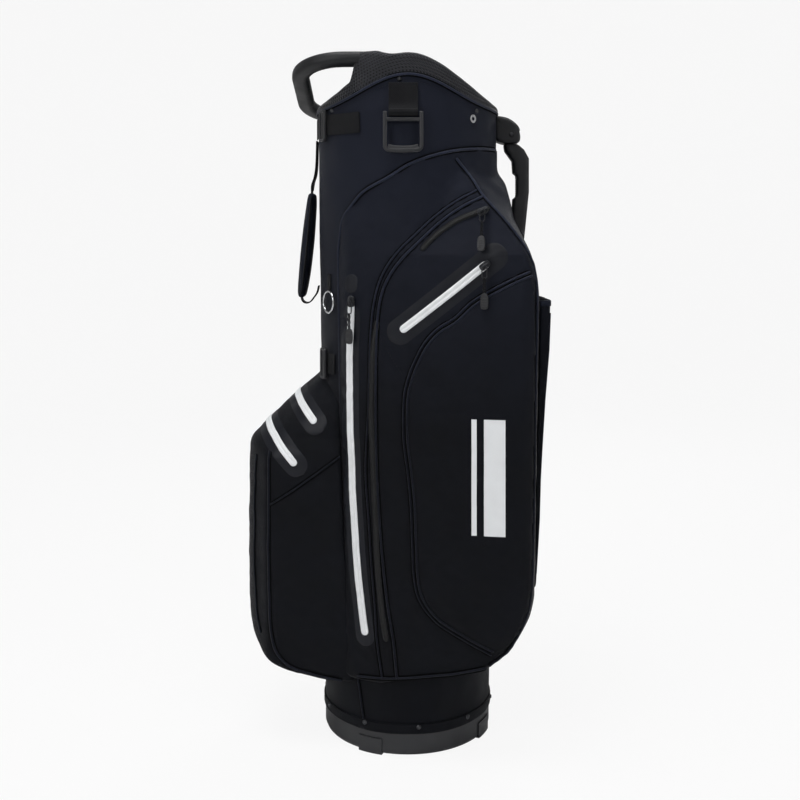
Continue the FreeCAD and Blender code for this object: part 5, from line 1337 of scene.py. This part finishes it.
class BAG_OT_towel_ring(BagOperator, bpy.types.Operator):
    """Moulds the towel ring and sews the webbing tab that it hangs from"""

    bl_idname = "bag.towel_ring"
    bl_label = "Towel Ring"

    def make(self, made, sizes):
        depth, middle = 128.12, -6.0
        ring = Surface()
        up = np.array([0, -1.0, 0])
        side_line = lambda pairs, closed=False: spline([(middle + x, -depth, z) for x, z in pairs], 1.2, closed)
        frame_path = side_line([(-22.9, 820), (-23.0, 800), (-23.0, 780), (-22.2, 774.5), (-18, 771.6),
            (-8, 771.0), (0, 770.8), (8, 771.0), (18, 771.6), (22.2, 774.5), (23.0, 780), (23.0, 800),
            (22.9, 820)])
        low = soft_step((776 - frame_path[:, 2]) / 5)
        ring.tube(sweep(frame_path, squircle(2.5, 2.4, 4.0, 20), up, widths=1 + 0.15 * low, heights=1.0))
        arch = side_line([(-19, 776.2), (-10, 774.6), (0, 774.2), (10, 774.6), (19, 776.2)])
        ring.tube(sweep(arch, squircle(2.6, 2.0, 4.0, 16), up))
        bar = side_line([(-23, 810), (-8, 810), (8, 810), (23, 810)])
        ring.tube(sweep(bar, squircle(2.4, 2.3, 4.0, 16), up))
        ring.build("towel_ring_frame", made["plastic"], "towel_ring_body", ["towel_ring"], "moulded_black")

        radius = lambda z: -float(tube_radius(z))
        turn = np.radians(np.linspace(70, -150, 14))
        roll = np.stack([-depth + 1.0 - 4.2 * np.cos(turn), 819.5 + 4.2 * np.sin(turn)], 1)
        line = np.concatenate([[(radius(857) - 1.3, 857), (radius(850) - 1.5, 850), (radius(838) - 1.7, 838),
            (radius(830) - 2.4, 830)], roll])
        line = spline(line, 1.2)
        path = np.stack([np.full(len(line), middle), line[:, 0], line[:, 1]], 1)
        out = unit(np.cross(unit(np.gradient(path, axis=0)), np.array([1.0, 0, 0])))
        tab = Surface().tube(sweep(path, squircle(18.5, 0.95, 8.0, 40), out))
        seam = [(-15, 852), (15, 852), (15, 830), (-15, 830), (-15, 852)]
        path = even(np.array(seam, float), 1.0)
        flat = np.stack([middle + path[:, 0], -tube_radius(path[:, 1]) - 2.3, path[:, 1]], 1)
        stitches(tab, flat, np.tile([0, -1.0, 0], (len(flat), 1)), lift=0.1, slot=0)
        tab.build("towel_tab_webbing", made["webbing"], "bag", ["towel_tab"], "webbing")


def buckle_frame(surface, angle, z, slot=0):
    """A ladder buckle lying on webbing: a rounded frame with a bar across its middle."""
    turn = math.radians(angle)
    out = np.array([math.cos(turn), math.sin(turn), 0])
    side, up = np.array([-out[1], out[0], 0]), np.array([0, 0, 1.0])
    centre = out * (float(tube_radius(z)) + 2.7 + 2.5) + up * z
    loop = even(rounded_box(6.6, 19.0, 2.5), 1.2, closed=True)
    path = centre + loop[:, :1] * side + loop[:, 1:] * up
    surface.tube(sweep(path, squircle(1.9, 2.3, 3.6, 16), out, closed=True), wrap_path=True, slot=slot)
    bar = centre + np.linspace(-18.5, 18.5, 22)[:, None] * up
    surface.tube(sweep(bar, squircle(1.5, 1.9, 3.0, 14), out), slot=slot)


def band_round_tube(surface, z, width, start, end, proud=1.15, slot=0):
    """Webbing laid round the tube between two directions in degrees, with folded round ends."""
    turn = np.radians(np.linspace(start, end, 60))
    path = round_tube(turn, z + 0.5 * np.sin(turn * 9), proud)
    path = dense_ends(path, 2.0)
    share = round_share(path, 2.0)
    surface.tube(sweep(path, squircle(width / 2, 0.9, 8.0, 44), outward_on_tube(path),
        widths=0.94 + 0.06 * share, heights=share), slot=slot)


def hung_webbing(surface, line, width, slot=0):
    """Webbing whose long edge is seen from the side: a line of x and z, evenly wide to both sides."""
    line = spline(line, 1.5)
    path = np.stack([line[:, 0], np.zeros(len(line)), line[:, 1]], 1)
    out = unit(np.cross(np.array([0, 1.0, 0]), unit(np.gradient(path, axis=0))))
    surface.tube(sweep(path, squircle(width / 2, 0.85, 8.0, 40), out), slot=slot)


class BAG_OT_strap(BagOperator, bpy.types.Operator):
    """Sews the carry strap: anchors, buckles, webbing, the stuffed pad and the glove ring's tab"""

    bl_idname = "bag.strap"
    bl_label = "Carry Strap"

    def make(self, made, sizes):
        for name, z, angle, end, node in (("upper", 809, 208, 240, "upper_anchor_webbing"),
                ("lower", 494, 205, 217, "lower_anchor_webbing")):
            web = Surface()
            band_round_tube(web, z, 27, 180, end)
            line = round_tube(np.radians(np.full(30, end - 3.0)), np.linspace(z - 11, z + 11, 30), 2.2)
            stitches(web, line, outward_on_tube(line))
            web.build(f"{name}_anchor_band", made["webbing"], "bag", [node], "webbing")
            frame_piece = Surface()
            buckle_frame(frame_piece, angle, z)
            frame_piece.build(f"{name}_ladder_buckle", made["plastic"], "bag", [f"{name}_buckle"], "moulded_black")

        web = Surface()
        hung_webbing(web, [(-124.2, 793.5), (-124.6, 775), (-125.4, 758), (-127.5, 744), (-131, 733),
            (-131.3, 722)], 26)
        hung_webbing(web, [(-123.6, 793.5), (-123.8, 776), (-124.2, 762), (-125.6, 748), (-128.6, 738),
            (-130.6, 726)], 25)
        web.build("strap_top_webbing", made["webbing"], "bag", ["strap_upper_webbing"], "webbing")
        web = Surface()
        hung_webbing(web, [(-145, 584), (-145.2, 578), (-143, 573.5), (-138.5, 571.5), (-133.5, 573),
            (-128.5, 579), (-124, 586), (-121.8, 595)], 23)
        web.build("strap_low_webbing", made["webbing"], "bag", ["strap_lower_webbing"], "webbing")

        # the pad: a flat sleeve of cloth, narrower at both ends, stuffed with foam
        line = spline([(-131, 724), (-131.4, 712), (-134, 680), (-138, 640), (-142.4, 600), (-144.6, 586),
            (-145.3, 578)], 3.0)
        path = np.stack([line[:, 0], np.zeros(len(line)), line[:, 1]], 1)
        path = dense_ends(path, 9.0)
        share = round_share(path, 9.0)
        out = unit(np.cross(np.array([0, 1.0, 0]), unit(np.gradient(path, axis=0))))
        pad = Surface().tube(sweep(path, squircle(18.6, 6.0, 3.0, 36), out, widths=0.55 + 0.45 * share,
            heights=0.35 + 0.65 * share))
        pad = pad.build("strap_cushion", made["cloth"])
        stuffed(pad, 4.5, 4.0, 5.0)
        map_flat(pad)
        fit(pad, "bag", ["strap_pad"])
        edge = Surface()
        for side in (-1, 1):
            rim = path + np.array([0, side * 18.9, 0]) * (0.55 + 0.45 * share)[:, None]
            cord_piece(edge, rim[4:-4], 1.2, out[4:-4])
        edge.build("strap_cushion_binding", made["webbing"], "bag", (), "webbing")

        dress("glove_ring", made["steel"])
        turn = math.radians(211)
        out = np.array([math.cos(turn), math.sin(turn), 0])
        z = np.linspace(590.5, 612.5, 16)
        stand = tube_radius(z)[:, None] + 1.3 + 1.2 * np.exp(-((z[:, None] - 590) / 4) ** 2)
        path = out * stand + z[:, None] * np.array([0, 0, 1.0])
        tab = Surface().tube(sweep(path, squircle(4.5, 0.8, 6.0, 24), out))
        tab.build("glove_tab_webbing", made["webbing"], "bag", ["glove_ring_tab"], "webbing")


def stuffed(thing, voxel, pressure, most):
    """Cloth made round foam: the mesh is remade in even cells, blown up by the cloth solver without gravity
    for twenty frames, and no point moves further than most millimetres."""
    bpy.context.view_layer.objects.active = thing
    remesh = thing.modifiers.new("even cells", "REMESH")
    remesh.mode, remesh.voxel_size = "VOXEL", voxel * MM
    apply_modifiers(thing)
    rest = np.array([v.co for v in thing.data.vertices], float)
    cloth = thing.modifiers.new("cloth", "CLOTH")
    cloth.settings.quality = 6
    cloth.settings.use_pressure = True
    cloth.settings.uniform_pressure_force = pressure
    cloth.settings.effector_weights.gravity = 0
    cloth.point_cache.frame_start, cloth.point_cache.frame_end = 1, 20
    for number in range(1, 21):
        bpy.context.scene.frame_set(number)
    apply_modifiers(thing)
    bpy.context.scene.frame_set(1)
    now = np.array([v.co for v in thing.data.vertices], float)
    step = now - rest
    far = np.linalg.norm(step, axis=1, keepdims=True)
    now = rest + step * np.minimum(1, most * MM / np.maximum(far, 1e-9))
    thing.data.vertices.foreach_set("co", now.ravel())
    smooth = thing.modifiers.new("round", "SUBSURF")
    smooth.levels = smooth.render_levels = 1
    apply_modifiers(thing)
    thing.data.polygons.foreach_set("use_smooth", np.ones(len(thing.data.polygons), bool))
    thing.data.update()


def apply_modifiers(thing):
    """Writes the shape that the modifiers give into the mesh and takes them off."""
    made = bpy.data.meshes.new_from_object(thing.evaluated_get(bpy.context.evaluated_depsgraph_get()))
    thing.modifiers.clear()
    thing.data = made


def map_flat(thing):
    """A UV map by the length across and along y and z, for cloth that has lost its own."""
    mesh = thing.data
    co = np.zeros(len(mesh.vertices) * 3)
    mesh.vertices.foreach_get("co", co)
    ids = np.zeros(len(mesh.loops), int)
    mesh.loops.foreach_get("vertex_index", ids)
    layer = mesh.uv_layers.get("UVMap") or mesh.uv_layers.new(name="UVMap")
    layer.data.foreach_set("uv", co.reshape(-1, 3)[ids][:, 1:].ravel())


class BAG_OT_side_pockets(BagOperator, bpy.types.Operator):
    """Sews both side pockets with their piping, stitching, welded film and printed bars"""

    bl_idname = "bag.side_pockets"
    bl_label = "Side Pockets"

    def make(self, made, sizes):
        radius = sizes.piping / MM
        for side, label in ((-1, "near"), (1, "far")):
            side_pocket(side)
            seams = Surface()
            lines = [(RIDGE_SEAM, 1.1), (LARGE_POCKET, 1.0), (GUSSET_SEAM, 1.0), (SECOND_SEAM, 0.72)]
            for line, share in lines:
                path, normal = face_line(line, 0.35, side)
                welt(seams, even(path, 2.5), radius * share, mid_normals(path, normal, 2.5))
            low = spline([(-64, 101), (-20, 104), (20, 110), (60, 117), (98, 127)], 3.0)
            path, normal = face_line(low, 0.3, side)
            welt(seams, path, radius * 0.8, normal)
            edge = spline(np.concatenate([FRONT_EDGE[:, ::-1] * 1.0, TOP_EDGE[1:]]), 3.0)
            path = on_tube(edge[:, 0], edge[:, 1], 1.5, side)
            welt(seams, path, radius, outward_on_tube(path))
            path, normal = face_line(beside(LARGE_POCKET, 5.0), 0.35, side)
            welt(seams, even(path, 2.5), radius * 0.85, mid_normals(path, normal, 2.5))
            path, normal = face_line(beside(RIDGE_SEAM, -5.0), 0.0, side)
            stitches(seams, path, normal, slot=1)
            path, normal = face_line(SLANT_SEAM, 0.15, side)
            stitches(seams, path, normal, slot=1)
            seams.build(f"{label}_pocket_seams", [made["piping"], made["webbing"], made["fold"]], "bag", (),
                "bag_fabric")

            film = Surface()
            margin = sizes.film_margin / MM + 5
            face_band(film, spline([(-73, 575), (-74, 453), (-70, 330), (-64, 240), (-57.5, 180), (-53, 141)],
                2.5), margin * 0.72, 0.45, (True, True), side)
            face_band(film, spline([(-72.5, 590), (-72.5, 600), (-71.5, 614)], 2.5), margin * 0.5, 0.45,
                (True, True), side)
            face_band(film, spline([(-23, 532), (48, 589), (120, 648)], 2.5), margin * 1.05, 0.45, (True, True), side)
            film.build(f"{label}_pocket_film", made["film"], "bag", (), "bag_fabric",
                outward_from=(40, side * 40, 450))
            if side < 0:
                bars = Surface()
                face_band(bars, even(np.array([(108.0, 292.0), (108.0, 436.0)]), 3.0), 13.0, 0.35,
                    (False, False), side, across=15, tuck=0.4)
                face_band(bars, even(np.array([(83.0, 292.0), (83.0, 436.0)]), 3.0), 3.2, 0.35, (False, False),
                    side, tuck=0.4)
                bars.build("printed_bars", made["ink"], "bag", (), "zip_white", outward_from=(40, side * 40, 450))


def beside(line, off):
    """A face line moved sideways in its own plane."""
    way = unit(np.gradient(line, axis=0))
    return line + np.stack([-way[:, 1], way[:, 0]], 1) * off


def mid_normals(path, normal, step):
    """Normals for a path that has been stepped evenly again."""
    run, spots = run_along(path), run_along(even(path, step))
    return unit(np.stack([np.interp(spots, run, normal[:, k]) for k in range(3)], 1))


class BAG_OT_ball_pocket(BagOperator, bpy.types.Operator):
    """Sews the ball pocket with its crowned top, welded film and piping"""

    bl_idname = "bag.ball_pocket"
    bl_label = "Ball Pocket"

    def make(self, made, sizes):
        # rays leave a point inside at each height; where the tube is nearer the cloth dips behind it
        centre = np.array([-100.0, 0.0])
        z = np.concatenate([[86.4, 86.9, 87.7, 89, 91, 94], np.linspace(97, 486, 180)])[:, None]
        turn = np.linspace(math.radians(60), math.radians(300), 300)[None]
        way = np.stack(np.broadcast_arrays(np.cos(turn), np.sin(turn), 0 * z), -1)
        start = np.stack(np.broadcast_arrays(centre[0] + 0 * turn, 0 * turn, z + 0 * turn), -1)
        points = hit(ball_shape, start, way, 160.0)
        # even out the section's columns
        run = np.cumsum(np.linalg.norm(np.diff(points, axis=1), axis=2), axis=1)
        run = np.concatenate([np.zeros((len(points), 1)), run], 1)
        points = np.stack([
            np.stack([np.interp(np.linspace(0, r[-1], 210), r, row[:, k]) for k in range(3)], -1)
            for r, row in zip(run, points)
        ])
        normal = slope_of(ball_shape, points)
        inside = points + normal * ball_relief(points)[..., None]
        tube = np.hypot(inside[..., 0], inside[..., 1])
        under = tube_radius(inside[..., 2]) - 1.4
        back = np.where(tube < under, under / np.maximum(tube, 1), 1.0)
        inside[..., 0] *= back
        inside[..., 1] *= back
        cloth = Surface().grid(inside)
        floor = inside[:1]
        middle = np.array([-100.0, 0, 86.2])
        rim = middle + (floor - middle) * np.linspace(0.02, 1, 6)[:, None, None]
        cloth.grid(rim)
        cloth.build("ball_pocket_cloth", made["cloth"], "bag", ["ball_pocket"], "bag_fabric",
            outward_from=(-110, 0, 250))

        radius = sizes.piping / MM
        seams = Surface()
        for side in (-1, 1):
            self.line(seams, BALL_CORNER, radius, side)
            self.line(seams, spline([(-200, 374), (-202, 340), (-202, 300), (-202, 230), (-199, 170),
                (-193, 140)], 3.0), radius * 0.7, side)
            self.line(seams, spline([(-180, 312), (-150, 332), (-120, 354), (-96, 372), (-88, 378)], 3.0),
                radius * 0.6, side)
        seams.build("ball_pocket_seams", [made["piping"], made["webbing"], made["fold"]], "bag", (), "bag_fabric")

        film = Surface()
        margin = sizes.film_margin / MM + 5
        for along, half in (UPPER_ZIP, LOWER_ZIP):
            self.crown_band(film, along, math.radians(half + 10), margin)
        film.build("ball_pocket_film", made["film"], "bag", (), "bag_fabric", outward_from=(-110, 0, 330))

    def line(self, surface, line, radius, side):
        """Piping on the pocket's side: a line of x and z, pushed out from the middle plane to the cloth."""
        start = np.stack([line[:, 0], np.zeros(len(line)), line[:, 1]], 1)
        path = hit(ball_shape, start, np.array([0, float(side), 0]), 140.0)
        normal = slope_of(ball_shape, path)
        welt(surface, path + normal * (ball_relief(path)[:, None] + 0.3), radius, normal)

    def crown_band(self, surface, along, half, margin):
        """Welded film round the crown: its middle is lifted off the cloth and its edges lie on it."""
        turn = np.linspace(-half, half, 90)[:, None]
        spread = np.linspace(-1, 1, 9)[None]
        ends = np.sqrt(np.clip(1 - (np.clip((np.abs(turn) * 88 - (half * 88 - margin)) / margin, 0, 1)) ** 2,
            0.002, 1))
        points, _ = crown_cloth(turn + 0 * spread, along + spread * margin * ends,
            (0.55 - 0.5 * spread**8)[..., None])
        surface.grid(points)


class BAG_OT_sleeve(BagOperator, bpy.types.Operator):
    """Sews the flat sleeve at the back, open at its bound top edge"""

    bl_idname = "bag.sleeve"
    bl_label = "Back Sleeve"

    def make(self, made, sizes):
        # the wall goes up the outside, rolls over the rim and comes down inside
        z = np.concatenate([[193.0, 193.3, 194.5, 197.5], np.linspace(202, 574, 120), [574.8],
            np.linspace(574, 500, 16)])[:, None]
        inner = np.concatenate([np.zeros(124), [0.7], np.full(16, 1.4)])[:, None]
        corner = np.concatenate([[0.02, 0.6, 0.85, 0.95], np.ones(137)])[:, None]
        near = np.interp(z, BACK_EDGE[:, 0], BACK_EDGE[:, 1]) + 10.6
        far = np.interp(z, [193, 234, 287, 340, 380, 446, 512, 578],
            [170.0, 172.4, 175.4, 176.8, 178.9, 182.9, 188.2, 190.8])
        loop = squircle(1, 1, 7.0, 132)[None]
        half = np.maximum((far - near) / 2, 0.8)
        y = loop[..., 1] * (57.4 * corner - inner)
        x = near + half + loop[..., 0] * np.maximum(half - inner, 0.4) * np.minimum(corner * 1.2, 1)
        belly = 1.2 * np.exp(-((y / 40) ** 2)) * (loop[..., 0] > 0.2) * np.sin(np.clip((z - 193) / 382, 0,
            1) * math.pi)
        slack = 0.3 * ripple(y, z, 31, 60) * (loop[..., 0] > 0)
        points = np.stack(np.broadcast_arrays(x + belly + slack, y, z), -1)
        pouch = Surface().grid(points, wrap_v=True)
        pouch.build("sleeve_cloth", made["cloth"], "bag", ["back_sleeve"], "bag_fabric", outward_from=(182, 0, 365))
        trim = Surface()
        rim = even(points[123], 1.5, closed=True)
        trim.tube(sweep(rim, squircle(1.2, 4.0, 4.0, 16), (0, 0, 1.0), closed=True), wrap_path=True)
        for side in (-1, 1):
            edge = np.stack([far[8:120, 0] - 0.8, np.full(112, side * 56.2), z[8:120, 0]], 1)
            cord_piece(trim, edge, 1.1, (1.0, side * 1.0, 0))
        trim.build("sleeve_binding", made["piping"], "bag", (), "bag_fabric")


LONG_ZIP_LINE = [(-53.5, 155), (-57.5, 180), (-64, 240), (-70, 330), (-74, 453), (-73.5, 530), (-72, 584)]


class BAG_OT_zips(BagOperator, bpy.types.Operator):
    """Lays every zip on its pocket with its slider and its pull"""

    bl_idname = "bag.zips"
    bl_label = "Zips"

    def make(self, made, sizes):
        straight = (
            ("long_zip", (-54, 153), (-71, 590), -1, 1, "pale_zip", LONG_ZIP_LINE),
            ("slant_zip", (-8, 543), (104, 633), -1, 1, "pale_zip", [(-9, 543), (48, 588), (99, 629.5)]),
            ("valuables_zip", (22, 650), (104, 698), -1, 1, "dark_zip",
                [(16, 645), (36, 665), (61, 682), (84, 692), (103, 698)]),
            ("inner_zip", (-27, 150), (-39.5, 556), -1, None, "dark_zip",
                [(-27, 150), (-32, 180), (-38, 239), (-41, 300), (-44, 366), (-46.8, 442), (-44, 520),
                (-39.5, 556)]),
            ("far_zip", (-54, 153), (-71, 590), 1, 1, "pale_zip", LONG_ZIP_LINE),
        )
        for name, low, high, side, parked, finish, line in straight:
            path, normal = face_line(spline(line, 2.5), 0.9, side)
            profile = ZIP_PROFILE if finish == "pale_zip" else COIL_PROFILE
            zip_strip(Surface(), path, normal, profile).build(
                f"{name}_strip", made[finish], "bag", [f"{name}_tape"], "zip_white" if finish == "pale_zip" else "zip_black"
            )
            if parked is not None:
                zip_hardware(name, *straight_parking(low, high, side, parked))
        for name, (along, half) in (("ball_upper_zip", UPPER_ZIP), ("ball_lower_zip", LOWER_ZIP)):
            turn = np.linspace(-math.radians(half - 6), math.radians(half), 110)
            path, out = crown_cloth(turn, np.full(110, along), 0.6)
            zip_strip(Surface(), path, out, ZIP_PROFILE).build(f"{name}_strip", made["pale_zip"], "bag",
                [f"{name}_tape"], "zip_white")
            zip_hardware(name, *arc_parking(half, along))


STEPS = (
    BAG_OT_stage, BAG_OT_base, BAG_OT_tube, BAG_OT_cuff, BAG_OT_dividers, BAG_OT_loop_handle, BAG_OT_lift_handle,
    BAG_OT_towel_ring, BAG_OT_strap, BAG_OT_side_pockets, BAG_OT_ball_pocket, BAG_OT_sleeve, BAG_OT_zips,
)


class BAG_PT_panel(bpy.types.Panel):
    """Lists the bag's settings and its steps in the order they are made"""

    bl_idname = "BAG_PT_panel"
    bl_label = "Golf Cart Bag"
    bl_space_type = "VIEW_3D"
    bl_region_type = "UI"
    bl_category = "Cart Bag"

    def draw(self, context):
        for group in (context.scene.bag_colours, context.scene.bag_sizes):
            box = self.layout.box()
            for name in group.__annotations__:
                box.prop(group, name)
        for step in STEPS:
            self.layout.operator(step.bl_idname)


CLASSES = (BagColours, BagSizes) + STEPS + (BAG_PT_panel,)


def register():
    for kind in CLASSES:
        bpy.utils.register_class(kind)
    bpy.types.Scene.bag_colours = bpy.props.PointerProperty(type=BagColours)
    bpy.types.Scene.bag_sizes = bpy.props.PointerProperty(type=BagSizes)


def unregister():
    del bpy.types.Scene.bag_sizes
    del bpy.types.Scene.bag_colours
    for kind in reversed(CLASSES):
        bpy.utils.unregister_class(kind)


def main():
    """Runs every step in order."""
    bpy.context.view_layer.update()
    register()
    for step in STEPS:
        group, name = step.bl_idname.split(".")
        getattr(getattr(bpy.ops, group), name)()


if __name__ == "__main__":
    main()
